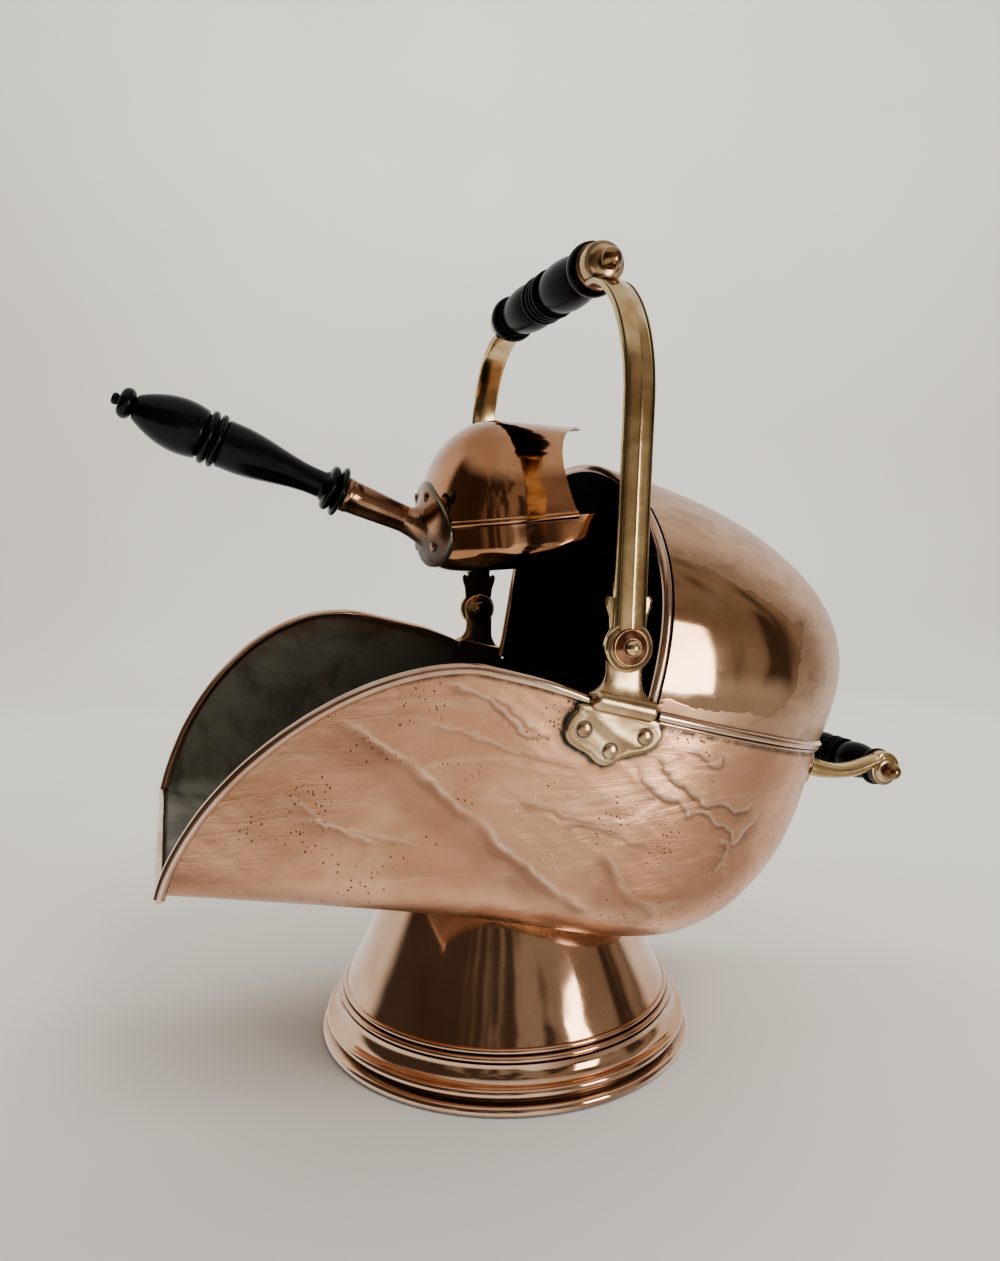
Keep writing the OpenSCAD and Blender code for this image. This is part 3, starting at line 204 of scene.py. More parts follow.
class Piece:
    """Points and faces of one piece, gathered in millimetres and made into one mesh."""

    def __init__(self):
        self.points = []
        self.faces = []
        self.kinds = []
        self.marks = {}
        self.count = 0

    def grid(self, points, kind=0, around=False, along=False, **marks):
        """A net of points; around closes its second direction and along its first."""
        points = np.asarray(points, float)
        n, m = points.shape[:2]
        first = self.count + np.arange(n * m).reshape(n, m)
        rows = np.concatenate([first, first[:1]]) if along else first
        net = np.concatenate([rows, rows[:, :1]], 1) if around else rows
        quads = stack(net[:-1, :-1], net[1:, :-1], net[1:, 1:], net[:-1, 1:]).astype(int).reshape(-1, 4)
        self.points.append(points.reshape(-1, 3))
        self.faces.extend(quads.tolist())
        self.kinds.extend([kind] * len(quads))
        for name, values in marks.items():
            self.mark(name, np.broadcast_to(values, (n, m)).reshape(-1))
        self.count += n * m
        return first

    def mark(self, name, values):
        kept = self.marks.setdefault(name, [])
        missing = self.count - sum(len(k) for k in kept)
        if missing > 0:
            kept.append(np.zeros(missing))
        kept.append(np.asarray(values, float))

    def cap(self, ring):
        self.faces.append([int(i) for i in ring])
        self.kinds.append(0)

    def tube(self, rings, **marks):
        """A net that closes in its second direction, with both ends capped."""
        net = self.grid(rings, around=True, **marks)
        self.cap(net[0])
        self.cap(net[-1][::-1])

    def strip(self, place, first, second):
        """The edge between two skins."""
        self.grid(place(np.stack([first, second], 1)))

    def lathe(self, outline, place, kind=0, steps=48, closed=False, dark=()):
        """Turns an outline of (radius, height) pairs round its axis; dark lists the radii of its dark rings of
        painted shade.
        """
        outline = np.asarray(outline, float)
        turn = np.linspace(0, 2 * math.pi, steps, endpoint=False)
        r, h = outline[:, None, 0], outline[:, None, 1]
        points = stack(r * np.cos(turn), r * np.sin(turn), h + 0 * turn)
        rings = sum([hump(outline[:, :1] - r, DARK_RING_W) for r in dark], 0 * outline[:, :1])
        net = self.grid(place(points), kind, around=True, dark=rings)
        if closed:
            self.cap(net[0])
            self.cap(net[-1][::-1])

    def sweep(self, path, section, across):
        """Runs a section along a path."""
        t = unit(np.gradient(path, axis=0))
        side = unit(np.cross(t, np.broadcast_to(across, t.shape)))
        up = np.cross(side, t)
        self.tube(path[:, None] + side[:, None] * section[..., :1] + up[:, None] * section[..., 1:])

    def make(self, name, finishes, body, nodes, slot, sharp=42.0, weld=0.002):
        """Makes the mesh. Angles over sharp degrees stay edges, points within weld millimetres are joined."""
        mesh = bpy.data.meshes.new(name)
        points = np.concatenate(self.points) * MM
        mesh.from_pydata(points.tolist(), [], self.faces)
        mesh.polygons.foreach_set("material_index", self.kinds)
        for mark, parts in self.marks.items():
            values = np.concatenate(parts)
            values = np.concatenate([values, np.zeros(len(points) - len(values))])
            mesh.attributes.new(mark, "FLOAT", "POINT").data.foreach_set("value", values.astype(np.float32))
        shaped = bmesh.new()
        shaped.from_mesh(mesh)
        bmesh.ops.remove_doubles(shaped, verts=shaped.verts, dist=weld * MM)
        bmesh.ops.recalc_face_normals(shaped, faces=shaped.faces)
        shaped.to_mesh(mesh)
        shaped.free()
        piece = bpy.data.objects.new(name, mesh)
        bpy.context.collection.objects.link(piece)
        for finish in finishes:
            mesh.materials.append(finish)
        mesh.shade_smooth()
        mesh.set_sharp_from_angle(angle=math.radians(sharp))
        fit(piece, body, nodes)


def fit(piece, body, nodes):
    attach(piece, body)
    if nodes:
        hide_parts(*nodes)


def circle(r, steps):
    a = np.linspace(0, 2 * math.pi, steps, endpoint=False)
    return stack(r * np.cos(a), r * np.sin(a))


def arc(r, out, z0, z1, steps=9):
    """A half-round moulding of an outline, from z0 to z1, standing out from radius r."""
    a = np.linspace(-math.pi / 2, math.pi / 2, steps)
    return [(r + out * math.cos(t), z0 + (z1 - z0) * (1 + math.sin(t)) / 2) for t in a]


def dome(r, h, steps=9, z=0.0):
    a = np.linspace(0, math.pi / 2, steps)
    return [(r * math.cos(t), z + h * math.sin(t)) for t in a]


# ------------------------------------------------------------ shader trees

class Value:
    """A socket of a finish. Arithmetic on it adds Math nodes."""

    def __init__(self, finish, socket):
        self.finish = finish
        self.socket = socket

    def math(self, operation, *others, clamp=False):
        return self.finish.node("Math", {"operation": operation, "use_clamp": clamp}, (self,) + others)

    def __add__(self, other):
        return self.math("ADD", other)

    __radd__ = __add__

    def __sub__(self, other):
        return self.math("SUBTRACT", other)

    def __rsub__(self, other):
        return self.finish.node("Math", {"operation": "SUBTRACT"}, (other, self))

    def __mul__(self, other):
        return self.math("MULTIPLY", other)

    __rmul__ = __mul__

    def clamp(self):
        return self.math("ADD", 0.0, clamp=True)

    def between(self, low, high):
        """Rises smoothly from 0 to 1 as this goes from low to high."""
        return self.finish.node("MapRange", {"interpolation_type": "SMOOTHSTEP"},
                                {"Value": self, "From Min": low, "From Max": high})


class Shading:
    """A tree of shader nodes."""

    def node(self, kind, settings=None, inputs=(), out=0):
        made = self.tree.nodes.new("ShaderNode" + kind)
        for name, value in (settings or {}).items():
            setattr(made, name, value)
        for name, value in (inputs.items() if isinstance(inputs, dict) else enumerate(inputs)):
            socket = made.inputs[name]
            if isinstance(value, Value):
                self.tree.links.new(value.socket, socket)
            else:
                socket.default_value = value
        return Value(self, made.outputs[out])

    def blend(self, first, second, share):
        return self.node("Mix", {"data_type": "RGBA"}, {"Factor": share, 6: first, 7: second}, out=2)


class Finish(Shading):
    """One material: its nodes, its sources of unevenness, and its metal or wood."""

    def __init__(self, name):
        self.material = bpy.data.materials.new(name)
        self.material.use_nodes = True
        self.tree = self.material.node_tree
        self.tree.nodes.clear()
        self.shader = self.tree.nodes.new("ShaderNodeBsdfPrincipled")
        output = self.tree.nodes.new("ShaderNodeOutputMaterial")
        self.tree.links.new(self.shader.outputs[0], output.inputs["Surface"])
        self.place = self.node("TexCoord", out="Object")

    def stretched(self, x, y, z):
        return self.node("Mapping", {}, {"Vector": self.place, "Scale": (x, y, z)})

    def noise(self, size, detail=3.0, rough=0.5, warp=0.0, at=None):
        """Unevenness whose spots are about size millimetres across."""
        return self.node("TexNoise", {}, {"Vector": at or self.place, "Scale": 1000.0 / size, "Detail": detail,
                                          "Roughness": rough, "Distortion": warp})

    def pits(self, size, low, high, patch, start, end):
        """Pits about size millimetres apart, their rims between low and high, in patches."""
        cells = self.node("TexVoronoi", {}, {"Vector": self.place, "Scale": 1000.0 / size})
        return (1.0 - cells.between(low, high)) * self.noise(patch, 2, 0.5).between(start, end)

    def marked(self, name):
        return self.node("Attribute", {"attribute_name": name}, out="Fac")

    def crevice(self, reach):
        """1 in corners that are closer than reach millimetres, 0 in the open."""
        seen = self.node("AmbientOcclusion", {"samples": 8}, {"Distance": reach * MM}, out="AO")
        return 1.0 - seen

    def bump(self, height, depth, strength):
        """Relief that is depth millimetres deep where height goes from 0 to 1."""
        return self.node("Bump", {}, {"Height": height, "Distance": depth * MM, "Strength": strength})

    def set(self, **values):
        for name, value in values.items():
            socket = self.shader.inputs[name.replace("_", " ")]
            if isinstance(value, Value):
                self.tree.links.new(value.socket, socket)
            else:
                socket.default_value = value
        return self.material


def shade(code):
    """A colour written as it looks, such as b87a5e, in the light's own terms."""
    parts = [int(code[i:i + 2], 16) / 255 for i in (0, 2, 4)]
    linear = [p / 12.92 if p <= 0.04045 else ((p + 0.055) / 1.055) ** 2.4 for p in parts]
    return (*linear, 1.0)


class Room(Shading):
    """The room round the scuttle: pale behind and under it, dimmer above, dark and brown in front of it."""

    def __init__(self, pale, low, ceiling, dim, middling):
        world = bpy.data.worlds.new("room")
        bpy.context.scene.world = world
        world.use_nodes = True
        self.tree = world.node_tree
        way = self.node("TexCoord", out="Generated")
        front, up, right = (self.node("VectorMath", {"operation": "DOT_PRODUCT"}, (way, axis), out="Value")
                            for axis in ((-0.224, -0.975, -0.2), (0.0, 0.0, 1.0), (0.951, -0.308, 0.0)))
        # Tall pieces of furniture and curtains, only as soft bands
        tall = self.node("Mapping", {}, {"Vector": way, "Scale": (1, 1, 0.25)})
        bands = self.node("TexNoise", {}, {"Vector": tall, "Scale": 3.4, "Detail": 2.0, "Roughness": 0.6})
        walls = self.blend(dim, middling, bands.between(0.46, 0.60))
        walls = self.blend(dim, walls, right.between(-0.8, -0.35))
        # The pale floor reaches higher straight ahead than at the sides
        level = up - right.between(0.1, 0.3) * (1.0 - right.between(0.5, 0.74)) * 0.2
        below = right.between(0.25, 0.75) * (1.0 - level.between(-0.32, -0.18)) * front.between(-0.2, 0.2)
        colour = self.blend(pale, low, below)
        colour = self.blend(colour, walls, front.between(-0.42, -0.2) * level.between(-0.32, -0.18))
        colour = self.blend(colour, ceiling, up.between(0.6, 0.85))
        colour = self.blend(colour, pale, self.node("LightPath", out="Is Camera Ray"))
        self.tree.links.new(colour.socket, self.tree.nodes["Background"].inputs["Color"])


def worn_copper():
    """The trough's outside: rubbed copper that has gone satin, folded, pitted and stained, with highlights and
    shade painted along its folds and shade painted towards its lower edge.
    """
    f = Finish("worn_copper")
    broad = f.noise(55, 3, 0.55, 0.6)
    streak = f.noise(16, 5, 0.6, 1.2, at=f.stretched(0.35, 1.0, 1.6))
    fine = f.noise(2.2, 4, 0.6)
    colour = f.blend(shade("d9a27e"), shade("c48c69"), broad.between(0.35, 0.7))
    colour = f.blend(colour, shade("e2bb9d"), streak.between(0.50, 0.78) * 0.55)
    pits = f.pits(3.0, 0.12, 0.26, 26, 0.50, 0.62).clamp()
    # Painted highlights along the folds' edges, and painted shade in their hollows and towards the wall's lower
    # edge
    glint = (f.marked("glint") * fine.between(0.2, 0.5)).clamp()
    shadow = f.marked("shadow").clamp()
    colour = f.blend(colour, shade("8d644e"), shadow * 0.85)
    colour = f.blend(colour, shade("f4d8c0"), glint * 0.85)
    # Golden streaks along the bottom edge, where it is rubbed bright
    gilt = f.marked("gilt")
    fibre = f.noise(6, 4, 0.6, 1.6, at=f.stretched(0.12, 1.0, 2.0)).between(0.46, 0.56)
    colour = f.blend(colour, f.blend(shade("6b4330"), shade("f0b87e"), fibre), gilt * 0.8)
    colour = f.blend(colour, shade("5e3b2e"), pits * 0.85)
    stain = f.noise(7, 4, 0.7)
    dark = (f.marked("dark") * stain.between(0.1, 0.6)).clamp()
    green = (f.marked("green") * stain.between(0.32, 0.55)).clamp()
    colour = f.blend(colour, shade("5d4334"), dark * 0.85)
    colour = f.blend(colour, shade("40594c"), green * 0.9)
    rough = (0.30 - gilt * 0.1 + broad.between(0.3, 0.75) * 0.10 + streak.between(0.4, 0.8) * 0.05
             + pits * 0.3 + green * 0.35 + dark * 0.15)
    relief = f.bump(streak * 0.8 + fine * 0.12 - pits * 0.5, 0.6, 0.6)
    return f.set(Base_Color=colour, Metallic=1.0, Roughness=rough, Normal=relief)


def bright_copper(name, warm, cool, stain, rough, groove):
    """Polished sheet copper, mirror-like with a thin brown bloom, and dark in its grooves with grime and painted
    shade.
    """
    f = Finish(name)
    broad = f.noise(60, 3, 0.5, 0.4)
    cloud = f.noise(14, 5, 0.65, 0.8)
    colour = f.blend(shade(warm), shade(cool), broad.between(0.35, 0.68))
    colour = f.blend(colour, shade(stain), cloud.between(0.58, 0.85) * 0.4)
    # Where the polish has gone dull, pinker and streaked
    dull = (f.marked("dull") * 2.0 - 1.0 + (f.noise(16, 4, 0.65, 1.0) - 0.5) * 1.3).between(-0.05, 0.06)
    streak = f.noise(12, 5, 0.65, 0.6, at=f.stretched(0.4, 1.0, 1.2))
    colour = f.blend(colour, f.blend(shade("c99f80"), shade("aa8366"), streak.between(0.4, 0.7)), dull)
    pits = (f.pits(2.6, 0.08, 0.2, 22, 0.56, 0.7) * (1.0 + dull)).clamp()
    # Grime and painted shade where the sheet is enclosed: a greyer brown a little way in, dark brown deep in the
    # corners
    seen = f.crevice(groove)
    deep_grime_and_shade = seen.between(0.26, 0.66)
    # On the hood, soot round the hangers' rivets
    sooty = (f.marked("sooty") * 1.2).clamp()
    colour = f.blend(colour, shade("8f745e"), seen.between(0.08, 0.4) * 0.6)
    colour = f.blend(colour, shade("33211a"), (deep_grime_and_shade * 0.95 + pits * 0.6).clamp())
    colour = f.blend(colour, shade("2a211c"), sooty)
    green = f.marked("green") * cloud.between(0.35, 0.6)
    colour = f.blend(colour, shade("3f5a4e"), green.clamp() * 0.85)
    swirl = f.noise(3, 4, 0.6)
    roughness = (rough + cloud.between(0.45, 0.8) * 0.06 + deep_grime_and_shade * 0.35 + pits * 0.25 + sooty * 0.35
                 + dull * 0.26)
    relief = f.bump(broad * 0.9 + swirl * 0.04 + streak * dull * 0.5, 0.5, 0.25)
    return f.set(Base_Color=colour, Metallic=1.0, Roughness=roughness, Normal=relief)


def smoked_copper():
    """The trough's inside: a grey-green skin from coal, scraped here and there, and painted black with shade
    towards the rear.
    """
    f = Finish("smoked_copper")
    broad = f.noise(45, 4, 0.6, 0.8)
    fine = f.noise(6, 5, 0.7)
    colour = f.blend(shade("6c6a5c"), shade("4a463c"), broad.between(0.35, 0.65))
    colour = f.blend(colour, shade("8b8874"), fine.between(0.55, 0.8) * 0.5)
    scrape = f.noise(5, 4, 0.7, at=f.stretched(0.25, 1.0, 1.0)).between(0.62, 0.75) * broad.between(0.4, 0.7)
    colour = f.blend(colour, shade("a07862"), scrape * 0.7)
    edge = f.marked("edge")
    colour = f.blend(colour, shade("6b4535"), (edge * fine.between(0.25, 0.6)).clamp() * 0.8)
    # Painted shade, black towards the rear
    colour = f.blend(colour, shade("0b0908"), f.marked("sooty").clamp())
    relief = f.bump(fine + broad, 0.4, 0.5)
    roughness = 0.46 + fine.between(0.3, 0.7) * 0.2 - scrape * 0.15
    return f.set(Base_Color=colour, Metallic=0.35, Roughness=roughness, Normal=relief)


def soot():
    """The hood's inside, painted black as shade."""
    f = Finish("soot")
    fine = f.noise(5, 5, 0.7)
    colour = f.blend(shade("0c0a09"), shade("1d1815"), fine.between(0.4, 0.8))
    return f.set(Base_Color=colour, Metallic=0.0, Roughness=0.75 + fine * 0.2, Normal=f.bump(fine, 0.4, 0.5))


def cast_metal(name, light, deep, rough):
    """Cast mounts: yellow where they are handled, brown with grime and painted shade in the hollows, the grooves
    and the parts marked dark.
    """
    f = Finish(name)
    broad = f.noise(22, 3, 0.5, 0.5)
    fine = f.noise(2.0, 4, 0.6)
    colour = f.blend(shade(light), shade(deep), broad.between(0.35, 0.7))
    pits = f.pits(1.6, 0.10, 0.22, 9, 0.52, 0.66)
    # Grime and painted shade in the hollows, from how enclosed each point is, and on the places marked dark
    grime_and_shade = (f.crevice(3.0).between(0.32, 0.75) + f.marked("dark")).clamp()
    colour = f.blend(colour, shade("2b1c14"), (grime_and_shade * 0.92 + pits.clamp() * 0.6).clamp())
    green = (grime_and_shade * f.noise(5, 3, 0.6).between(0.48, 0.62) + f.marked("green")).clamp()
    colour = f.blend(colour, shade("4b6152"), green * 0.7)
    relief = f.bump(broad * 0.5 + fine * 0.06, 0.3, 0.3)
    return f.set(Base_Color=colour, Metallic=1.0 - grime_and_shade * 0.8,
                 Roughness=rough + fine.between(0.45, 0.8) * 0.08 + grime_and_shade * 0.4,
                 Normal=relief)


def turned_metal(name, light, deep):
    """Washers, rods and balls, turned from copper, with fine rings from the lathe."""
    f = Finish(name)
    fine = f.noise(1.6, 3, 0.6)
    broad = f.noise(9, 3, 0.5)
    colour = f.blend(shade(light), shade(deep), broad.between(0.35, 0.68))
    # Grime and painted shade in the corners, from how enclosed each point is
    grime_and_shade = f.crevice(2).between(0.3, 0.7)
    colour = f.blend(colour, shade("22160f"), grime_and_shade * 0.9)
    return f.set(Base_Color=colour, Metallic=1.0, Roughness=0.17 + fine.between(0.4, 0.75) * 0.1 + grime_and_shade * 0.3,
                 Normal=f.bump(fine, 0.12, 0.3))


def ebonised_wood(name, gloss, rough):
    """Black stained, polished wood with a faint grain and rubbed edges."""
    f = Finish(name)
    grain = f.noise(1.4, 5, 0.6, 0.3, at=f.stretched(1.0, 0.08, 1.0))
    broad = f.noise(20, 2, 0.5)
    colour = f.blend(shade("040404"), shade("0c0a09"), grain.between(0.4, 0.75))
    worn = f.noise(4, 4, 0.7).between(0.70, 0.86)
    colour = f.blend(colour, shade("2a1d17"), worn * 0.4)
    roughness = rough + broad.between(0.35, 0.7) * 0.08 + worn * 0.15
    return f.set(Base_Color=colour, Metallic=0.0, Roughness=roughness, Specular_IOR_Level=gloss,
                 Normal=f.bump(grain, 0.08, 0.25))


def sooty_metal():
    """The hangers: copper rod gone black with soot."""
    f = Finish("sooty_copper")
    fine = f.noise(3, 4, 0.6)
    colour = f.blend(shade("241a15"), shade("4a3529"), fine.between(0.45, 0.7))
    return f.set(Base_Color=colour, Metallic=0.8, Roughness=0.4 + fine * 0.2, Normal=f.bump(fine, 0.3, 0.4))


WORN = worn_copper()
HOOD = bright_copper("hood_copper", "cba37e", "ab805d", "775943", 0.08, 4.0)
FOOT = bright_copper("foot_copper", "d6af92", "bd9373", "775844", 0.08, 5.0)
TRIM = bright_copper("trim_copper", "dfbfa6", "b99279", "5f4636", 0.15, 3.0)
SHOVEL = bright_copper("shovel_copper", "c48e68", "9d6a48", "60402a", 0.07, 3.0)
INSIDE = smoked_copper()
HOOD_SHADE = soot()
BRASS = cast_metal("cast_brass", "d8bb88", "ac8a5e", 0.15)
PLATE = cast_metal("bracket_metal", "cfb088", "a68662", 0.22)
BRONZE = cast_metal("socket_metal", "b98d6d", "7b553f", 0.16)
TURNED = turned_metal("turned_copper", "a07354", "6a4531")
AGED = turned_metal("aged_bronze", "94724c", "4c3422")
EBONY = ebonised_wood("ebonised_wood", 0.14, 0.16)
HANDLED = ebonised_wood("handled_wood", 0.03, 0.2)
SOOTY = sooty_metal()


# ------------------------------------------------------------ the trough

def bottom_v(u):
    """Height of the trough's floor, which drops a little towards the lip."""
    return -8.0 * np.clip((-80.0 - u) / (LIP_REACH - 80.0), 0, 1) ** 1.6


def side_w(u):
    """Half the trough's width at the seam's height."""
    return HALF_W - (HALF_W - LIP_HALF) * np.clip((STRAIGHT_U - u) / (STRAIGHT_U + LIP_REACH), 0, 1) ** 2


def wing_v(u, side, d):
    """Height of the wing's edge, d inside the wire's outer face."""
    start, bend, crest = (83.0, 1.68, 7.0) if side == NEAR else (100.0, 2.0, 10.0)
    low = bottom_v(-LIP_REACH) + 3.0
    front = LIP_REACH - d
    f = np.clip((-start - u) / (front - start), 0, 1)
    top = SEAM_H + crest * smooth((ARCH_U - u) / 70.0) - d
    return low + (top - low) * (1 - f ** bend) ** (1 / bend)


def wall_w(u, v):
    """Half the trough's width at a height."""
    return side_w(u) - FLARE * (SEAM_H - v) / SEAM_H


def front_share(s):
    """How far a station is along the part that narrows towards the lip."""
    return np.clip((STRAIGHT_S - s) / (1 + STRAIGHT_S), 0, 1)


def plan(s):
    """The seam's outline at station s: how far back, and how far out."""
    s = np.asarray(s, float)
    u_front = STRAIGHT_U + (WIRE_R - LIP_REACH - STRAIGHT_U) * front_share(s)
    u_mid = ARCH_U + (STRAIGHT_U - ARCH_U) * s / STRAIGHT_S
    turn = np.clip(s, 0, 1) * math.pi / 2
    u_rear = ARCH_U + REAR_REACH * full(np.sin(turn))
    u = np.where(s < STRAIGHT_S, u_front, np.where(s < 0, u_mid, u_rear))
    w = np.where(s < STRAIGHT_S, side_w(u_front), np.where(s < 0, HALF_W, HALF_W * full(np.cos(turn))))
    return u, w


def outward(line, s, step, rear):
    """The outward direction of a plan at station s; rear is its sign at the rearmost point."""
    u0, w0 = line(np.maximum(s - step, -1))
    u1, w1 = line(np.minimum(s + step, 1))
    length = np.hypot(u1 - u0, w1 - w0) + TINY
    du, dw = -rear * (w1 - w0) / length, rear * (u1 - u0) / length
    return np.where(s > 0.9995, rear, du), np.where(s > 0.9995, 0.0, dw)


def rounding(s, rear):
    """The radius of the wall's corner with the floor; rear is the one at the rear."""
    front = SIDE_ROUND + (LIP_ROUND - SIDE_ROUND) * front_share(s)
    return np.where(s < 0, front, SIDE_ROUND + (rear - SIDE_ROUND) * smooth(s))


def down_wall(q, top, low, h, run):
    """Height and turn q of the way from the top of a wall, round its corner of height h, to the bottom."""
    straight = top - low - h
    gone = q * (straight + run * h)
    turn = np.clip((gone - straight) / (run * h), 0, 1) * math.pi / 2
    return np.where(gone < straight, top - gone, low + h * (1 - np.sin(turn))), turn


def wall(s, q, side, t=0.0):
    """The wall at station s, q of the way from its edge to the bottom, t inside its outer face."""
    s, q = np.broadcast_arrays(np.asarray(s, float), np.asarray(q, float))
    u, w = plan(s)
    nu, nw = outward(plan, s, 0.0008, 1.0)
    inset = WIRE_R * smooth((ARCH_U - 2 - u) / 20)
    top = np.where(u >= ARCH_U, SEAM_H, wing_v(u, side, inset))
    low = bottom_v(u) + t
    h = np.minimum(rounding(s, REAR_ROUND_H), 0.8 * (top - low))
    v, turn = down_wall(q, top, low, h, CORNER_RUN)
    breadth = np.minimum(rounding(s, REAR_ROUND_W), h)
    drawn = FLARE * (SEAM_H - v) / SEAM_H + breadth * (1 - np.cos(turn)) + t
    return stack(u - nu * drawn, side * (w - nw * drawn), v)


# Folds across the near wall, as (u, v) points. The first is the big one.
FOLD = [(-150, 96), (-136, 89), (-123, 84), (-110, 80), (-99, 73), (-86, 66), (-69, 58), (-55, 48), (-38, 40),
        (-21, 30), (-7, 24), (10, 18)]
SECOND_FOLD = [(-2, 54), (4, 50), (11, 43), (16, 36), (25, 31), (34, 29), (45, 22)]
# Thin leaf-like edges, each with its height and how far its raised side reaches
LEAVES = [
    ([(12, 106), (18, 106), (21, 103), (22, 99), (29, 95), (37, 94), (44, 89), (55, 86), (70, 87), (77, 84),
      (90, 89)], 0.55, 9.0),
    ([(5, 103), (9, 97), (13, 91), (23, 87), (35, 85), (43, 80), (49, 82), (59, 79), (67, 76), (76, 73),
      (79, 67), (87, 74), (95, 88)], 0.5, 8.0),
    ([(31, 113), (38, 113), (46, 110), (49, 106), (55, 108), (54, 113)], 0.4, 5.0),
    ([(68, 69), (77, 65), (75, 57), (71, 49)], 0.35, 6.0),
    ([(-28, 64), (-18, 64), (-5, 65), (6, 64), (15, 59), (27, 60)], 0.3, 7.0),
    ([(23, 85), (17, 78), (7, 71), (-4, 67)], 0.3, 6.0),
    ([(-104, 121), (-82, 117), (-66, 110), (-58, 104), (-41, 104)], 0.4, 7.0),
    ([(-79, 120), (-65, 113), (-50, 106)], 0.35, 5.0),
    ([(-54, 71), (-29, 68), (-6, 65)], 0.3, 7.0),
    ([(-110, 100), (-77, 97), (-46, 93), (-20, 93)], 0.25, 6.0),
    ([(-161, 53), (-140, 42), (-114, 36)], 0.25, 6.0),
    ([(-154, 42), (-123, 42), (-95, 40)], 0.2, 5.0)]


def to_line(u, v, line):
    """Signed distance from each point to a line of points, and how far along it that is (0 to 1)."""
    line = np.asarray(line, float)
    best = np.full(u.shape, 1e9)
    sign = np.ones(u.shape)
    along = np.zeros(u.shape)
    lengths = np.hypot(*np.diff(line, axis=0).T)
    start = 0.0
    for a, b, length in zip(line[:-1], line[1:], lengths):
        d = (b - a) / length
        t = np.clip((u - a[0]) * d[0] + (v - a[1]) * d[1], 0, length)
        du, dv = u - a[0] - d[0] * t, v - a[1] - d[1] * t
        distance = np.hypot(du, dv)
        closer = distance < best
        best = np.where(closer, distance, best)
        sign = np.where(closer, np.sign(d[0] * dv - d[1] * du), sign)
        along = np.where(closer, (start + t) / lengths.sum(), along)
        start += length
    return best * sign, along


def fade_ends(along, share=0.1):
    return smooth(along / share) * smooth((1 - along) / share)


def near_folds(u, v):
    """Relief, and the painted highlights along the edges and painted shade in the hollows that the folds give
    the near wall at (u, v).
    """
    here = stack(u, v)
    lift, glint, shadow = 0.0, 0.0, 0.0
    for line, height, seed in ((FOLD, 1.0, 0), (SECOND_FOLD, 0.75, 50)):
        warp = 1.9 * waves(here + seed, 8.0, 2) + 0.35 * flecks(here + seed, 3.5)
        d, along = to_line(u, v + warp, line)
        strong = fade_ends(along) * (0.8 + 0.45 * waves(here + 40 + seed, 14.0, 2)) * height
        step = 0.6 * ramp(d, 1.8) * np.exp(-np.maximum(d, 0) / 24)
        lift = lift + strong * (step - 0.25 * hump(d + 7.0, 6.0))
        bright = 0.25 + 0.45 * smooth(0.5 + waves(here + 70 + seed, 9.0, 2))
        glint = glint + strong * bright * hump(d - 0.4, 1.1)
        shadow = shadow + strong * (0.95 * hump(d + 3.6, 2.9) + 0.6 * hump(d + 11.0, 8.0))
    for number, (line, height, reach) in enumerate(LEAVES):
        warp = 2.4 * waves(here + 9 * number, 6.5, 2) + 0.6 * flecks(here + number, 2.5)
        d, along = to_line(u, v + warp, line)
        ends = fade_ends(along, 0.12)
        raised = ramp(d, 0.7) * np.exp(-np.maximum(d, 0) / reach)
        lift = lift + 0.55 * height * ends * (raised - 0.4 * hump(d + 2.2, 2.0))
        glint = glint + 1.2 * height * ends * hump(d - 0.4, 0.85)
        shadow = shadow + ends * height * (1.7 * hump(d + 1.4, 1.1) + 0.6 * hump(d + 4, 3.0))
    return lift, np.clip(glint, 0, 1), np.clip(shadow, 0, 1)


def sheet_relief(p, side):
    """Dents of the trough's sheet at a point in the body's frame."""
    lift = 0.35 * dents(p + 60 * side, 46.0, 2) + 0.10 * waves(p, 12.0, 2)
    # Long shallow ripples that run with the big fold
    slant = stack(p[..., 0] * 0.35 + p[..., 2] * 0.75, p[..., 0] * 0.10, p[..., 2] * 0.1)
    lift = lift + 0.22 * flecks(slant + 3 * side, 7.0, 2)
    edge = smooth((wing_v(p[..., 0], side, 0.0) - p[..., 2]) / 14.0) * smooth((p[..., 2] + 2) / 10.0)
    if side == NEAR:
        lift = lift + near_folds(p[..., 0], p[..., 2])[0]
    return lift * edge


# The outline of a bracket's lobed plate, as (u, v) points from its left shoulder round its tip
PLATE_EDGE = [(-31.0, 124.6), (-35.6, 120.4), (-38.3, 114.6), (-38.4, 108.6), (-35.2, 104.2), (-29.6, 101.9),
              (-23.6, 100.2), (-18.6, 97.2), (-13.6, 96.3), (-9.0, 98.3), (-4.6, 101.4), (1.4, 104.4),
              (7.4, 107.0), (12.2, 111.8), (13.8, 117.2), (11.6, 120.9), (6.0, 124.4)]


def smooth_loop(points, count):
    """A round-cornered closed line through points, with count points of its own."""
    points = np.asarray(points, float)
    n = len(points)
    at = np.linspace(0, n, count, endpoint=False)
    i = np.floor(at).astype(int)
    t = (at - i)[:, None]
    a, b, c, d = (points[(i + k) % n] for k in (-1, 0, 1, 2))
    return 0.5 * (2 * b + (c - a) * t + (2 * a - 5 * b + 4 * c - d) * t ** 2 + (3 * b - a - 3 * c + d) * t ** 3)


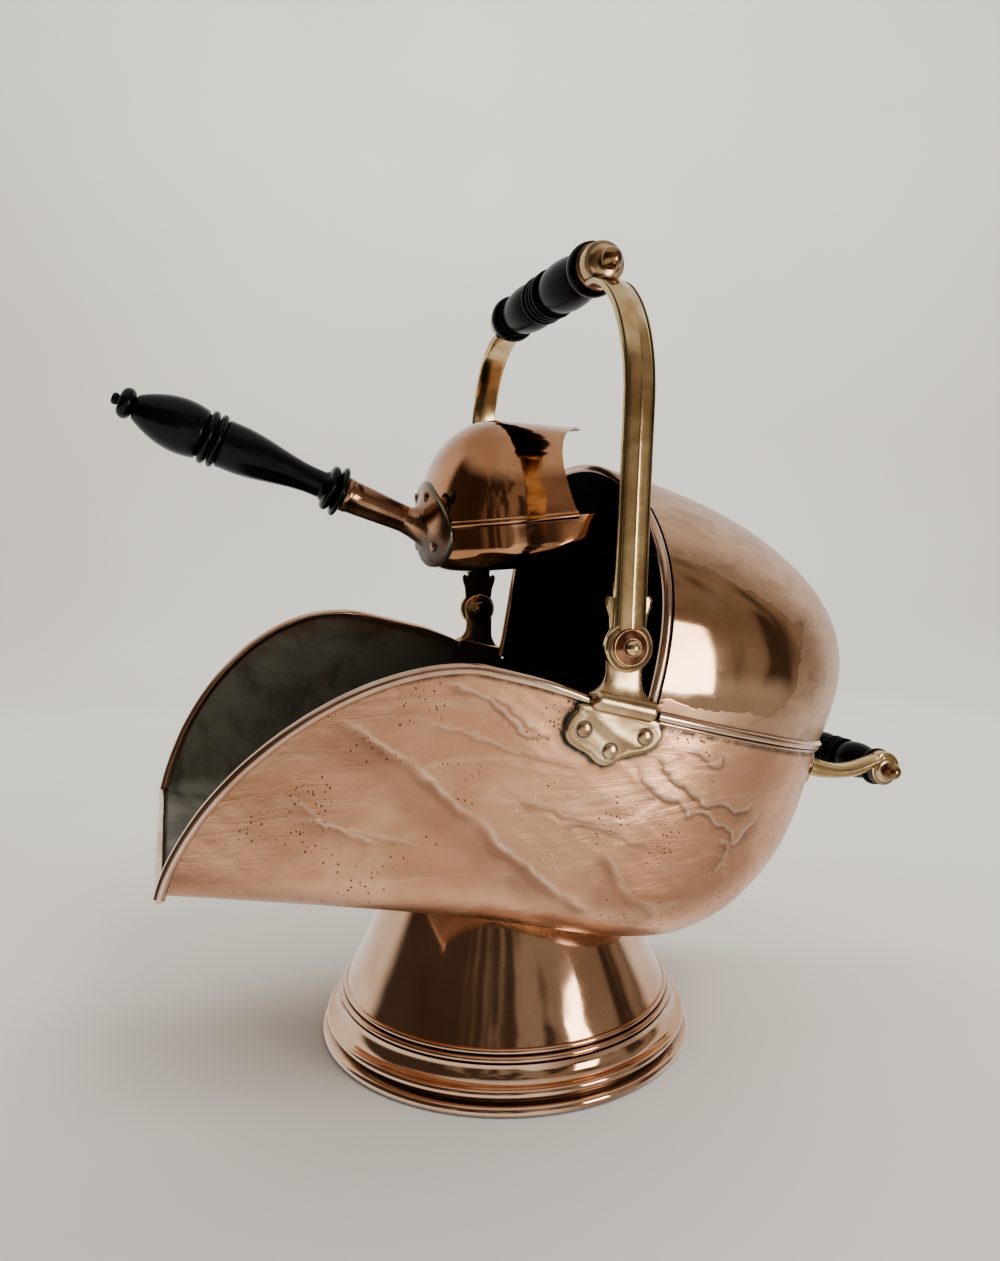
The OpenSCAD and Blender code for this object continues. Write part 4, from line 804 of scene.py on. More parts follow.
def wall_net(side, t, stations, rows):
    """The wall with its dents, as a net of stations by rows."""
    s = stations[:, None]
    p = wall(s, rows[None, :], side, t)
    e = 0.004
    along = wall(np.minimum(s + e, 1), rows, side, t) - wall(np.maximum(s - e, -1), rows, side, t)
    down = wall(s, np.minimum(rows + e, 1), side, t) - wall(s, np.maximum(rows - e, 0), side, t)
    n = np.cross(down, along) * -side
    n /= np.linalg.norm(n, axis=-1, keepdims=True) + TINY
    # Outward is away from the middle line, and at the very rear backward
    flip = np.sign(n[..., 1:2] * p[..., 1:2] + 1e-9)
    n = n * np.where(s[..., None] > 0.98, np.sign(n[..., :1] + 1e-9), flip)
    lift = sheet_relief(p, side) * smooth((1 - s) / 0.05) * smooth(rows / 0.02)
    return p + n * lift[..., None]


def outside_marks(u, v, side):
    """Where the trough's outside is tarnished, dark and golden, and where highlights and shade are painted on.
    """
    under = wing_v(u, side, 0) - v
    beside = np.where(u < -30, hump(under - 5.8, 1.1), 0) + np.where(u > 8, hump(SEAM_H - v - 4.6, 1.3), 0)
    plate = np.abs(to_line(u, v, PLATE_EDGE)[0])
    by_plate = hump(plate - 0.5, 1.5) * (u < 20)
    corner = hump(np.hypot(u + 37, v - 122) / 4.5, 1.0)
    green = 0.6 * beside + by_plate + corner
    dark = beside + 0.8 * by_plate + 0.35 * hump(plate - 3, 4.0) + 0.3 * hump(v - 2, 6.0) * (u < 60)
    glint, shadow = near_folds(u, v)[1:] if side == NEAR else (0.0, 0.0)
    gilt = smooth((11 - v) / 9) * hump(u + 25, 52.0)
    # Painted shade towards the wall's lower edge, less where it is golden
    shadow = np.clip(shadow + 0.6 * smooth((16 - v) / 14) * (1 - gilt), 0, 1)
    return dict(green=np.clip(green, 0, 1), dark=np.clip(dark, 0, 1), glint=glint, shadow=shadow, gilt=gilt)


def sooty_inside(u):
    """How much painted shade makes the trough's inside black, from the lip to the rear."""
    return 0.9 * smooth((u + 95) / 110)


def across_floor(near, far):
    """Points between the near and the far edge of a floor."""
    share = np.linspace(0, 1, 15)[:, None]
    return near[..., None, :] * (1 - share) + far[..., None, :] * share


def close_sheet(piece, nets, place, every=1):
    """Joins a sheet's two skins along its top, its front edges and its lip.

    The outside has as many rows as every says for each row of the inside.
    """
    for side in (NEAR, FAR):
        outer, inner = nets[0, side], nets[1, side]
        piece.strip(place, outer[:, 0], inner[:, 0])
        piece.strip(place, outer[0, ::every], inner[0])
    share = np.linspace(0, 1, 15)[:, None]
    lip = []
    for kind in (0, 1):
        near, far = nets[kind, NEAR][0, -1], nets[kind, FAR][0, -1]
        lip.append(near + (far - near) * share)
    piece.strip(place, *lip)


def close_dome(piece, skins, place):
    """Joins a dome's two skins round its edges."""
    outer, inner = skins
    piece.strip(place, outer[0], inner[0])
    for j in (0, -1):
        piece.strip(place, outer[:, j], inner[:, j])


def make_trough():
    """The trough's walls and floor as two skins, joined round their edges."""
    front = STRAIGHT_S + (-1 - STRAIGHT_S) * np.cos(np.linspace(0, math.pi / 2, 210))
    middle = np.linspace(STRAIGHT_S, 0, 60)[1:]
    rear = np.linspace(0, 1, 160)[1:]
    stations = np.concatenate([front, middle, rear])
    # The outside has four rows for each row of the inside
    every = 4
    piece = Piece()
    nets = {}
    for kind, t in SKINS:
        rows = np.linspace(0, 1, 51 if kind else 50 * every + 1)
        for side in (NEAR, FAR):
            p = wall_net(side, t, stations, rows)
            u, v = p[..., 0], p[..., 2]
            if kind == 0:
                marks = outside_marks(u, v, side)
            else:
                # The inside gets painted shade, black towards the rear
                marks = dict(edge=hump(wing_v(u, side, 0) - v - 4, 9.0) * (u < 0), sooty=sooty_inside(u))
            piece.grid(leaning(p), kind, **marks)
            nets[kind, side] = p
    across = np.linspace(0, 1, 15)
    from_edge = np.minimum(across, 1 - across)
    for kind in (0, 1):
        floor = across_floor(nets[kind, NEAR][:, -1], nets[kind, FAR][:, -1])
        sag = 0.5 * dents(floor, 38.0, 2) * smooth(from_edge / 0.2)
        floor = floor + stack(0.0, 0.0, sag * (floor[..., 0] < 150))
        under = 0.8 * smooth(from_edge / 0.15) * (1 - kind)
        piece.grid(leaning(floor), kind, dark=under, sooty=kind * sooty_inside(floor[..., 0]))
    close_sheet(piece, nets, leaning, every)
    piece.make("trough_sheet", [WORN, INSIDE], "scuttle", ["trough"], sharp=50, slot="body_copper")


# ------------------------------------------------------------ the hood

def hood(turn, around, t):
    """The hood at a height angle and an angle round its rear, t inside its outer face."""
    low_part = turn < 0
    high = np.maximum(turn, 0)
    fill = np.where(low_part, 1.0, full(np.cos(high)))
    h = np.where(low_part, BELLY * (1 + turn), BELLY + (HOOD_H - t - BELLY) * full(np.sin(high)))
    swell = 1 - np.where(low_part, turn ** 2, 0.0)
    u = (REAR_REACH + REAR_SWELL * swell - t) * fill * full(np.abs(np.cos(around)))
    w = (HALF_W + SIDE_SWELL * swell - t) * fill * full(np.abs(np.sin(around)))
    lean = BROW * (h / (HOOD_H - t)) ** 2 * (1 - fill * np.abs(np.cos(around)))
    return stack(ARCH_U + u - lean, np.sign(around) * w, SEAM_H + h)


def hood_relief(p):
    lift = 0.45 * dents(p * np.array([1, 0.8, 1]) + 17, 42.0, 2)
    near = (p[..., 1] < 0) * smooth(-p[..., 1] / 30)
    lift = lift - 0.8 * hump(np.hypot(p[..., 0] - 92, p[..., 2] - 172) / 20, 1.0) * near
    return lift * smooth((p[..., 2] - SEAM_H - 4) / 14) * smooth((p[..., 0] + 10) / 22)


# Where the hood's side is still polished, as (u, v) points
POLISHED = [(-30, 214), (5, 207), (27, 205), (47, 200), (69, 196), (84, 190), (94, 194), (92, 176), (95, 156),
            (88, 146), (80, 139), (45, 135.5), (26, 135), (-30, 134), (-30, 214)]
# The hangers' rivets on the hood, as (u, v) points, and how far they sit from the middle line
HANGER_RIVETS = [(36.5, 254.7), (57.2, 251.9)]
HANGER_HALF = 7.5


def polish_edge(p):
    """0 in the polished part of the hood's side, 1 outside it."""
    u, v = p[..., 0], p[..., 2]
    inside = np.zeros(u.shape, bool)
    for (a, b), (c, d) in zip(POLISHED, POLISHED[1:]):
        inside ^= ((b > v) != (d > v)) & (u < (c - a) * (v - b) / (d - b + 1e-9) + a)
    away = np.abs(to_line(u, v, POLISHED)[0])
    return 0.5 - 0.5 * np.tanh(away * np.where(inside, 1, -1) / 7.0)


def make_hood():
    turn = np.concatenate([np.linspace(-1, 0, 24)[:-1], np.linspace(0, math.pi / 2, 90)])
    around = np.linspace(-math.pi / 2, math.pi / 2, 241)
    piece = Piece()
    skins = []
    for kind, t in SKINS:
        p = hood(turn[:, None], around[None, :], t)
        n = np.cross(np.gradient(p, axis=1), np.gradient(p, axis=0))
        n /= np.linalg.norm(n, axis=-1, keepdims=True) + 1e-9
        fade = np.cos(np.maximum(turn, 0))[:, None] ** 0.5
        p = p + n * (hood_relief(p) * fade)[..., None]
        x, y, z = p[..., 0], p[..., 1], p[..., 2]
        beside = np.abs(y) - HANGER_HALF
        by_rivets = sum(hump(np.hypot(np.hypot(x - u, z - v), beside), 7.5) for u, v in HANGER_RIVETS)
        piece.grid(leaning(p), kind, dull=polish_edge(p), sooty=np.clip(1.4 * by_rivets, 0, 1))
        skins.append(p)
    close_dome(piece, skins, leaning)
    piece.make("hood_sheet", [HOOD, HOOD_SHADE], "scuttle", ["hood"], sharp=50, slot="polished_copper")


# ------------------------------------------------------------ wires and band

def uneven(points, amount, size):
    """Small knocks along a hand-made wire."""
    return points + amount * stack(*[waves(points + 31 * a, size, 2) for a in range(3)])


def wire_line(side):
    """The middle of the wire in a wing's edge, from the lip to the bracket."""
    turn = np.linspace(0, math.pi / 2, 170)
    front = WIRE_R - LIP_REACH
    u = front + (RAIL_FROM - front) * (1 - np.cos(turn))
    v = wing_v(u, side, WIRE_R)
    v[0] = bottom_v(-LIP_REACH) + 0.6
    return stack(u, side * (wall_w(u, v) - SHEET_T / 2), v)


def make_wires():
    for side, name in ((NEAR, "wing_wire_near"), (FAR, "wing_wire_far")):
        line = wire_line(side)
        piece = Piece()
        piece.sweep(leaning(uneven(line, 0.25, 18.0)), circle(WIRE_R, 18), (0, 1, 0))
        tip = leaning(line[0])
        end = dome(WIRE_R * 1.02, WIRE_R * 1.02)
        piece.lathe(end, lambda p: p * np.array([1, 1, -1]) + tip, steps=18, closed=True)
        piece.make(name + "_roll", [TRIM], "scuttle", [name], slot="polished_copper")
    u = WIRE_R - LIP_REACH
    v = bottom_v(-LIP_REACH) + SHEET_T / 2
    half = wall_w(u, v) - SHEET_T / 2
    y = np.linspace(-half, half, 90)
    line = uneven(stack(u, y, v), 0.3, 22.0)
    line[0], line[-1] = (u, -half, v), (u, half, v)
    piece = Piece()
    piece.sweep(leaning(line), circle(WIRE_R, 18), (1, 0, 0))
    piece.make("lip_roll", [TRIM], "scuttle", ["lip_wire"], slot="polished_copper")


def mirrored(near):
    """A line on the near side, carried on along the far side."""
    return np.concatenate([near, near[::-1][1:] * np.array([1, -1, 1])])


def make_arch_wire():
    turn = np.concatenate([np.linspace(-0.97, 0, 14)[:-1], np.linspace(0, math.pi / 2, 60)])
    inset = ARCH_WIRE_R - 0.4
    near = hood(turn, np.full(turn.shape, -math.pi / 2), inset) - np.array([ARCH_WIRE_R + SEAT, 0, 0])
    line = uneven(mirrored(near), 0.2, 20.0)
    piece = Piece()
    piece.sweep(leaning(line), circle(ARCH_WIRE_R, 18), (1, 0, 0))
    piece.make("arch_roll", [TRIM], "scuttle", ["arch_wire"], slot="polished_copper")


def make_seam_band():
    u, w = plan(np.linspace(0.0035, 1, 110))
    line = mirrored(stack(u, -w, SEAM_H))
    # A broad bead with a thin one under it
    section = [(SEAT, -BAND_R + 0.3)]
    for middle, r, out in ((-2.35, 0.8, 0.3), (0.95, 2.35, 0.5)):
        section += [(SEAT + out + r * math.cos(a), middle + r * math.sin(a))
                    for a in np.linspace(-1.45, 1.45, 11)]
    section = np.array(section + [(SEAT + 0.6, BAND_R - 0.2), (SEAT, BAND_R - 0.1)])
    piece = Piece()
    piece.sweep(leaning(uneven(line, 0.12, 20.0)), section, leaning([0, 0, 1]) - leaning([0, 0, 0]))
    piece.make("seam_roll", [TRIM], "scuttle", ["seam_band"], slot="polished_copper", sharp=60)


# ------------------------------------------------------------ foot

def make_foot():
    foot_r, cove_r, step_r = 112.5, CONE_R + 4, 110.0
    cove = [(cove_r + (step_r - 2 - cove_r) * (1 - math.sin(a)), 14 + 9.5 * (1 - math.cos(a)))
            for a in np.linspace(0, math.pi / 2, 12)]
    outline = ([(foot_r - 6, 0)] + arc(foot_r - 2.5, 2.5, 0, 6, 13) + [(foot_r - 5, 7.2), (foot_r - 5, 8.2)]
               + arc(step_r - 2, 2, 9, 14, 11) + cove + arc(cove_r - 1.6, 1.6, 23.9, 27.5, 9)
               + arc(CONE_R + 0.6, 1.4, 27.5, RING_H, 9) + [(CONE_R, RING_H), (CONE_R - SHEET_T, RING_H)]
               + [(CONE_R - 3, 27.5), (cove_r - 3, 23.5), (step_r - 5, 12), (foot_r - 6, 1)])

    def knocked(p):
        grow = 1 + 0.0016 * dents(p, 45.0, 2)[..., None]
        return p * np.where(p[..., 2:] > 0.5, grow, 1.0) * np.array([1, 1, 0]) + p * np.array([0, 0, 1])

    piece = Piece()
    piece.lathe(outline, knocked, steps=220)
    piece.make("foot_mouldings", [FOOT], "scuttle", ["foot_ring"], slot="polished_copper", sharp=35)

    cone = Piece()
    turn = np.linspace(0, 2 * math.pi, 220, endpoint=False)
    rise = np.linspace(0, 1, 50)[:, None]
    lean = np.cos(turn) * math.tan(TILT)
    skins = []
    for kind, t in SKINS:
        base = CONE_R - t
        # The cone is cut off under the trough's floor
        top = FOOT_H - SEAT / math.cos(TILT) - (base + RING_H * CONE_SLOPE) * lean
        top = top / (1 - CONE_SLOPE * lean)
        z = RING_H + (top - RING_H) * rise
        r = base - CONE_SLOPE * (z - RING_H)
        p = stack(r * np.cos(turn), r * np.sin(turn), z)
        sway = smooth(rise / 0.15) * smooth((1 - rise) / 0.1)
        p[..., :2] *= 1 + (0.006 * sway * dents(p + 5, 34.0, 2))[..., None]
        cone.grid(p, kind, around=True)
        skins.append(p)
    for row in (0, -1):
        cone.grid(np.stack([skin[row] for skin in skins]), around=True)
    cone.make("foot_neck", [FOOT, INSIDE], "scuttle", ["foot_cone"], slot="polished_copper", sharp=40)


# ------------------------------------------------------------ bail and its pivots

def on_side(p, side):
    """A point in the near wall's own plane (u, v, outward) in the world."""
    p = np.asarray(p, float)
    a = math.atan(FLARE / SEAM_H)
    v, o = p[..., 1] - SEAM_H, p[..., 2]
    y = -HALF_W - SEAT - o * math.cos(a) - v * math.sin(a)
    z = SEAM_H + v * math.cos(a) - o * math.sin(a)
    return leaning(stack(p[..., 0], -side * y, z))


# The bail: half its grip, where its ears and arms begin and end, and its boss
GRIP_HALF = 71.5
EAR_IN, EAR_OUT = HALF_W - 0.6, HALF_W + 3.2
ARM_IN = EAR_OUT + GAP
ARM_T = 6.0
ARM_MID = ARM_IN + ARM_T / 2
ARM_W = 17.0
HUB_T = 5.0
BOSS_IN = GRIP_HALF + 2.2
# The half-round rail of a bracket over the wing's edge
RAIL_R, RAIL_V, RAIL_Y, RAIL_END = 5.7, 127.6, 124.6, 3.2
RAIL_FROM, RAIL_TO = -29.5, 7.0
# A bracket's rivets and the middle of its plate, as (u, v) points, and its thickness
PLATE_RIVETS = ((-29.2, 112.3), (4.2, 114.8), (-12.5, 104.3))
PLATE_MIDDLE = np.array([-12.0, 113.0])
PLATE_T = 3.0


def bracket_plate(piece, side):
    """The lobed plate on the wall, raised along its middle and dark round its rivets."""
    edge = smooth_loop(PLATE_EDGE, 170)
    along = np.roll(edge, -1, 0) - np.roll(edge, 1, 0)
    out = unit(stack(along[:, 1], -along[:, 0]))
    out = out * np.sign(((edge - edge.mean(0)) * out).sum(1).mean())
    rim = ((0.0, 0.0), (1.9, 0.0), (2.6, -0.3), (2.95, -0.9), (3.05, -1.7), (3.05, -2.8), (PLATE_T, -4.0))
    rings = [np.concatenate([edge + out * grow, np.full((len(edge), 1), o)], 1) for o, grow in rim]
    inner = rings[-1][:, :2]
    for k in np.linspace(0.97, 0.01, 30):
        at = PLATE_MIDDLE + (inner - PLATE_MIDDLE) * k
        d = to_line(at[:, 0], at[:, 1], [(-24, 119), (-10, 112), (6, 108)])[0]
        height = PLATE_T + 0.2 * hump(d, 3.2) - 0.15 * hump(d + 5, 3.6)
        rings.append(np.concatenate([at, height[:, None]], 1))
    rings = np.stack(rings)
    dark = sum(hump(np.hypot(rings[..., 0] - u, rings[..., 1] - v) - 4.1, 0.55) for u, v in PLATE_RIVETS)
    dark = dark + 0.8 * (rings[..., 2] < 2.0)
    net = piece.grid(on_side(rings, side), around=True, dark=np.clip(dark, 0, 1))
    piece.cap(net[0])


def bracket_rail(piece, side):
    """The half-round rail over the wing's edge, with domed ends."""
    end = RAIL_END * (1 - np.cos(np.linspace(0.05, math.pi / 2, 8)))
    u = np.concatenate([RAIL_FROM + end, np.linspace(RAIL_FROM + 4.5, RAIL_TO - 4.5, 20), RAIL_TO - end[::-1]])
    from_end = np.minimum(u - RAIL_FROM, RAIL_TO - u)
    r = RAIL_R * np.sqrt(1 - np.clip(1 - from_end / RAIL_END, 0, 1) ** 2)
    turn = np.linspace(0, 2 * math.pi, 40, endpoint=False)
    y = RAIL_Y + r[:, None] * np.cos(turn)
    v = RAIL_V + r[:, None] * np.sin(turn)
    y = np.where(v < SEAM_H + 0.3, np.maximum(y, HALF_W + SEAT), np.maximum(y, HALF_W - 2.4))
    piece.tube(leaning(stack(u[:, None], side * y, v)))


def bracket_ear(piece, side):
    """The ear's neck, which swells out into the rail, and its disc round the pivot."""
    v = np.concatenate([np.linspace(129.0, 143.0, 24), np.linspace(145.0, 156.5, 6)])
    centre = -11.6 - 0.248 * (v - 127.9)
    half = 10 + 8.0 * np.clip((143 - v) / 12, 0, 1.05) ** 2.6
    outer = 126.2 + 1.9 * np.clip((143 - v) / 11, 0, 1.1) ** 2.2
    inner = EAR_IN
    loop = power(circle(1.0, 48), np.array([0.55, 0.75]))
    mid, thick = (outer + inner) / 2, (outer - inner) / 2
    u = centre[:, None] + half[:, None] * loop[:, 0]
    y = side * (mid[:, None] + thick[:, None] * loop[:, 1])
    piece.tube(leaning(stack(u, y, v[:, None])))
    disc = [(2.6, EAR_IN), (10.2, EAR_IN), (10.6, EAR_IN + 0.4), (10.6, EAR_OUT - 0.4), (10.2, EAR_OUT),
            (2.6, EAR_OUT)]
    piece.lathe(disc, on_pivot(side))


def make_brackets():
    heads = Piece()
    head = [(0.0, 0.0), (3.75, 0.0)] + dome(3.8, 1.25, 12, 0.05)
    for side, name in ((NEAR, "near"), (FAR, "far")):
        piece = Piece()
        bracket_plate(piece, side)
        bracket_rail(piece, side)
        bracket_ear(piece, side)
        piece.make("bracket_casting_" + name, [PLATE], "scuttle", ["bracket_" + name], slot="cast_brass",
                   sharp=50)
        for u, v in PLATE_RIVETS:
            heads.lathe(head, lambda p: on_side(p + np.array([u, v, PLATE_T + 0.1]), side), steps=28)
    heads.make("bracket_rivet_heads", [PLATE], "scuttle", ["bracket_rivets"], slot="cast_brass")


def make_pivots():
    inner = EAR_IN - SEAT - 2.2
    shaft = [(0, inner), (4.4, inner), (5, inner + 0.5), (5, inner + 2.0), (4.8, inner + 2.2),
             (2.5, inner + 2.2), (2.5, 135.6), (2.2, 135.9), (0, 135.9)]
    at = ARM_IN + HUB_T + GAP
    washer = [(2.55, at), (9.0, at), (9.5, at + 0.25), (9.5, at + 0.6), (9.0, at + 0.95), (8.5, at + 0.9),
              (8.2, at + 0.7), (5.4, at + 2.0), (4.9, at + 2.4), (4.5, at + 2.4), (4.5, at + 2.1),
              (2.55, at + 2.1), (2.55, at)]
    z = at + 2.4 + SEAT - 0.3
    nut = [(2.55, z), (3.8, z), (4.0, z + 0.3)] + dome(3.95, 3.1, 10, z + 0.5)
    washers, nuts = Piece(), Piece()
    for side, name in ((NEAR, "near"), (FAR, "far")):
        pin = Piece()
        pin.lathe(shaft, on_pivot(side), steps=32)
        pin.make("pivot_pin_" + name + "_turned", [BRASS], "scuttle", ["pivot_pin_" + name], slot="cast_brass")
        washers.lathe(washer, on_pivot(side), dark=(8.5, 4.6))
        nuts.lathe(nut, on_pivot(side), steps=32)
    washers.make("pivot_washers_turned", [TURNED], "scuttle", ["pivot_washers"], slot="turned_copper")
    nuts.make("pivot_nuts_turned", [BRASS], "scuttle", ["pivot_nuts"], slot="cast_brass")


# Half of the bail arm's outer face: depth as a share of its thickness, place as a share of its half width, and
# how much shade is painted on it. A bead, a groove with painted shade, then a broad facet up to the ridge.
ARM_FACE = [(0.20, 0.99, 0), (0.0, 1.0, 0.2), (-0.15, 0.985, 0), (-0.22, 0.955, 0), (-0.24, 0.92, 0),
            (-0.19, 0.885, 0.4), (-0.03, 0.865, 1), (-0.03, 0.815, 1), (-0.19, 0.79, 0.4), (-0.25, 0.75, 0),
            (-0.30, 0.64, 0), (-0.355, 0.48, 0), (-0.41, 0.32, 0), (-0.455, 0.17, 0), (-0.485, 0.06, 0),
            (-0.495, 0.0, 0)]
ARM_BACK = [(0.30, -0.92, 0), (0.34, -0.70, 0), (0.38, -0.35, 0), (0.40, 0.0, 0), (0.38, 0.35, 0),
            (0.34, 0.70, 0), (0.30, 0.92, 0)]
# Where the arm begins, where it begins to bend in, and the boss's radius it ends against
ARM_FROM, BEND_FROM, BOSS_R = 8.5, 118.0, 11.4
# Half the outline of the leaf on the arm's foot, as points across and up the arm
LEAF = [(-8, 4), (-9.8, 9), (-10.3, 15), (-11.9, 19.5), (-12.4, 23), (-11.2, 25), (-9.4, 24.2), (-8.4, 21.6),
        (-8.0, 25), (-8.4, 31), (-7.2, 33)]


def bail_arm(piece, side):
    """A ridged arm, straight up from its hub and then bent inward to its boss."""
    straight = np.linspace(ARM_FROM, BEND_FROM, 30)[:-1]
    bend = np.radians(np.linspace(0, 88, 44))
    reach, rise = ARM_MID - BOSS_IN, BAIL_R - BOSS_R * 0.8 - BEND_FROM
    y = np.concatenate([np.full(straight.shape, ARM_MID), ARM_MID - reach * (1 - np.cos(bend))])
    z = np.concatenate([straight, BEND_FROM + rise * np.sin(bend)])
    line = stack(0.0, -y, z)
    across = unit(np.cross(unit(np.gradient(line, axis=0)), (1.0, 0, 0)))
    depth, place, dark = np.array(ARM_FACE + [(a, -b, d) for a, b, d in ARM_FACE[-2::-1]] + ARM_BACK).T
    width = ARM_W - 0.8 * np.sin(math.pi * np.minimum(np.linspace(0, 1, len(line)) * 1.6, 1.0))
    body = line[:, None] + across[:, None] * (depth * ARM_T)[:, None]
    body = body + stack(place * width[:, None] / 2, 0.0, 0.0)
    piece.tube(bail_place(body * np.array([1, -side, 1])), dark=dark)


def bail_leaf(piece, side):
    """The flat leaf on the inner face of the arm's foot."""
    edge = np.array(LEAF + [(-a, b) for a, b in LEAF[::-1]])
    middle = edge.mean(0)
    away = edge - middle
    size = np.linalg.norm(away, axis=1, keepdims=True)
    rings = []
    for grow, o in ((0.0, 0.0), (0.0, 1.3), (-0.5, 1.75), (-1.6, 1.9)):
        ring = middle + away * (1 + grow / size)
        rings.append(stack(ring[:, 0], side * (ARM_IN + o), ring[:, 1]))
    piece.tube(bail_place(np.stack(rings)))


def make_bail():
    hub = [(2.6, 0), (12.2, 0), (12.6, 0.5), (12.7, 3.6), (12.4, 4.3), (11.8, 4.7), (11.4, 4.5), (11.0, 3.9),
           (10.6, 3.8), (10.2, 4.3), (9.8, 4.9), (9.4, HUB_T), (2.6, HUB_T), (2.6, 0)]
    hub = [(r, ARM_IN + h) for r, h in hub]
    boss = [(3.05, 0), (11.0, 0), (BOSS_R, 0.5), (BOSS_R, 6.6), (11.1, 7.3), (10.4, 7.6), (9.7, 7.5),
            (9.2, 7.8)]
    boss += [(9.2 * math.cos(a), 7.8 + 3.1 * math.sin(a)) for a in np.linspace(0.1, 1.2, 10)]
    boss = [(r, BOSS_IN + h) for r, h in boss + [(3.05, 10.8), (3.05, 0)]]
    for side, name in ((NEAR, "near"), (FAR, "far")):
        piece = Piece()
        bail_arm(piece, side)
        piece.lathe(hub, on_bail(side, 0), steps=56, dark=(10.8,))
        piece.lathe(boss, on_bail(side, BAIL_R), kind=1, steps=56, dark=(9.6,))
        piece.make("bail_arm_" + name + "_casting", [BRASS, PLATE], "bail", ["bail_arm_" + name],
                   slot="cast_brass", sharp=38)
        leaf = Piece()
        bail_leaf(leaf, side)
        leaf.make("bail_leaf_" + name, [BRASS], "bail", [], slot="cast_brass", sharp=38)
    end = GRIP_HALF + 14.6
    rod = make_rod(end, 5.8, 3.5, 1.2, lambda side: on_bail(side, BAIL_R))
    rod.make("bail_rod_turned", [AGED], "bail", ["bail_rod"], slot="turned_copper")
    washers = Piece()
    for side in (NEAR, FAR):
        for low, high, r in ((0.25, 1.0, 12.4), (1.25, 2.0, 12.2)):
            rim = [(3.1, low), (r - 0.25, low), (r, low + 0.2), (r, high - 0.2), (r - 0.25, high), (3.1, high),
                   (3.1, low)]
            washers.lathe([(a, GRIP_HALF + b) for a, b in rim], on_bail(side, BAIL_R))
    washers.make("bail_washers_turned", [TURNED], "bail", ["bail_washers"], slot="turned_copper")
    grip = Piece()
    grip.lathe(grip_outline(GRIP_HALF, 14.7), on_bail(FAR, BAIL_R), steps=72)
    grip.make("bail_grip_turned", [HANDLED], "bail_grip", ["bail_grip"], slot="ebonised_wood", sharp=60)


def make_rod(end, ball_r, out, neck, place):
    """A rod across, with a necked ball at each end whose middle stands out past it."""
    rod = Piece()
    rod.lathe([(0, -end), (3, -end), (3, end), (0, end)], place(FAR), steps=32)
    ball = [(ball_r * math.sin(a), end + out - ball_r * math.cos(a)) for a in np.linspace(0.35, math.pi, 22)]
    for side in (NEAR, FAR):
        rod.lathe([(3.6, end - neck), (3.9, end - neck), (4.0, end - 0.8)] + ball[2:], place(side), steps=36)
    return rod


def grip_outline(half, r):
    """A turned grip: a double ring in the middle, two swells, a neck and a broad collar at each end."""
    side = arc(r * 0.80, r * 0.17, 0.0, half * 0.075, 9) + arc(r * 0.80, r * 0.19, half * 0.08, half * 0.16, 9)
    swell = [(r * (0.76 - 0.05 * k + 0.24 * math.sin(math.pi * k ** 0.85) ** 0.75),
              half * (0.17 + (0.79 - 0.17) * k)) for k in np.linspace(0, 1, 30)]
    collars = (arc(r * 0.69, r * 0.13, half * 0.80, half * 0.835, 7)
               + arc(r * 0.80, r * 0.20, half * 0.845, half * 0.995, 11))
    right = side + swell + collars + [(r * 0.72, half), (3.08, half)]
    left = [(a, -b) for a, b in right[::-1]]
    return left + right + [(3.08, -half)]


# ------------------------------------------------------------ rear handle

# How far out the rear arms stand, their station on the wall, and the sizes of their bosses and section
REAR_MID = 44.8
REAR_S = 0.7864
REAR_BOSS_R = 10.4
REAR_ARM_W = 8.0
REAR_ARM_SIDE = [(0.10, 1.0), (0.52, 0.98), (0.62, 0.90), (0.80, 1.0), (0.95, 0.90), (0.98, 0.72), (0.88, 0.55),
                 (0.70, 0.46), (0.72, 0.40), (0.90, 0.25), (1.0, -0.05), (0.96, -0.42), (0.78, -0.74),
                 (0.48, -0.94), (0.12, -1.0)]


def rear_wall(s, v, t):
    """A point of the near wall by its station and height, t inside its outer face."""
    low = bottom_v(0.0) + t
    h = np.minimum(rounding(s, REAR_ROUND_H), 0.8 * (SEAM_H - low))
    return wall(s, (SEAM_H - v) / (SEAM_H - low - h + CORNER_RUN * h), NEAR, t)


def rear_arm(piece, mirror):
    """An arm from the wall to its boss, with a bead along the top of each side and a groove under it."""
    root = leaning(rear_wall(REAR_S, 112.1, -1.0)) - 1
    t = np.linspace(0, 1, 34)
    x = root[0] + (REAR_AXIS[0] - 3.2 - root[0]) * t
    z = root[2] + (REAR_AXIS[2] + 6.6 - root[2]) * smooth(t) - 6.0 * np.sin(math.pi * t)
    depth = 11.5 + (8.6 - 11.5) * smooth(t * 1.9) - 1.6 * smooth((t - 0.75) / 0.25)
    # The arm's end rolls over the boss
    turn = np.radians(np.linspace(108, -35, 22))
    roll_r = REAR_BOSS_R - 2.2
    x = np.concatenate([x, REAR_AXIS[0] + roll_r * np.cos(turn)])
    z = np.concatenate([z, REAR_AXIS[2] + roll_r * np.sin(turn)])
    depth = np.concatenate([depth, np.linspace(6.6, 2.0, 22)])
    path = stack(x, -REAR_MID, z)
    d = unit(np.gradient(path, axis=0))
    up = stack(-d[:, 2], 0.0, d[:, 0])
    out, height = np.array(REAR_ARM_SIDE + [(-a, b) for a, b in REAR_ARM_SIDE[::-1]]).T
    body = path[:, None] + up[:, None] * (height * depth[:, None] / 2)[..., None]
    body = body - stack(0.0, out * REAR_ARM_W / 2, 0.0)
    piece.tube(body * mirror)


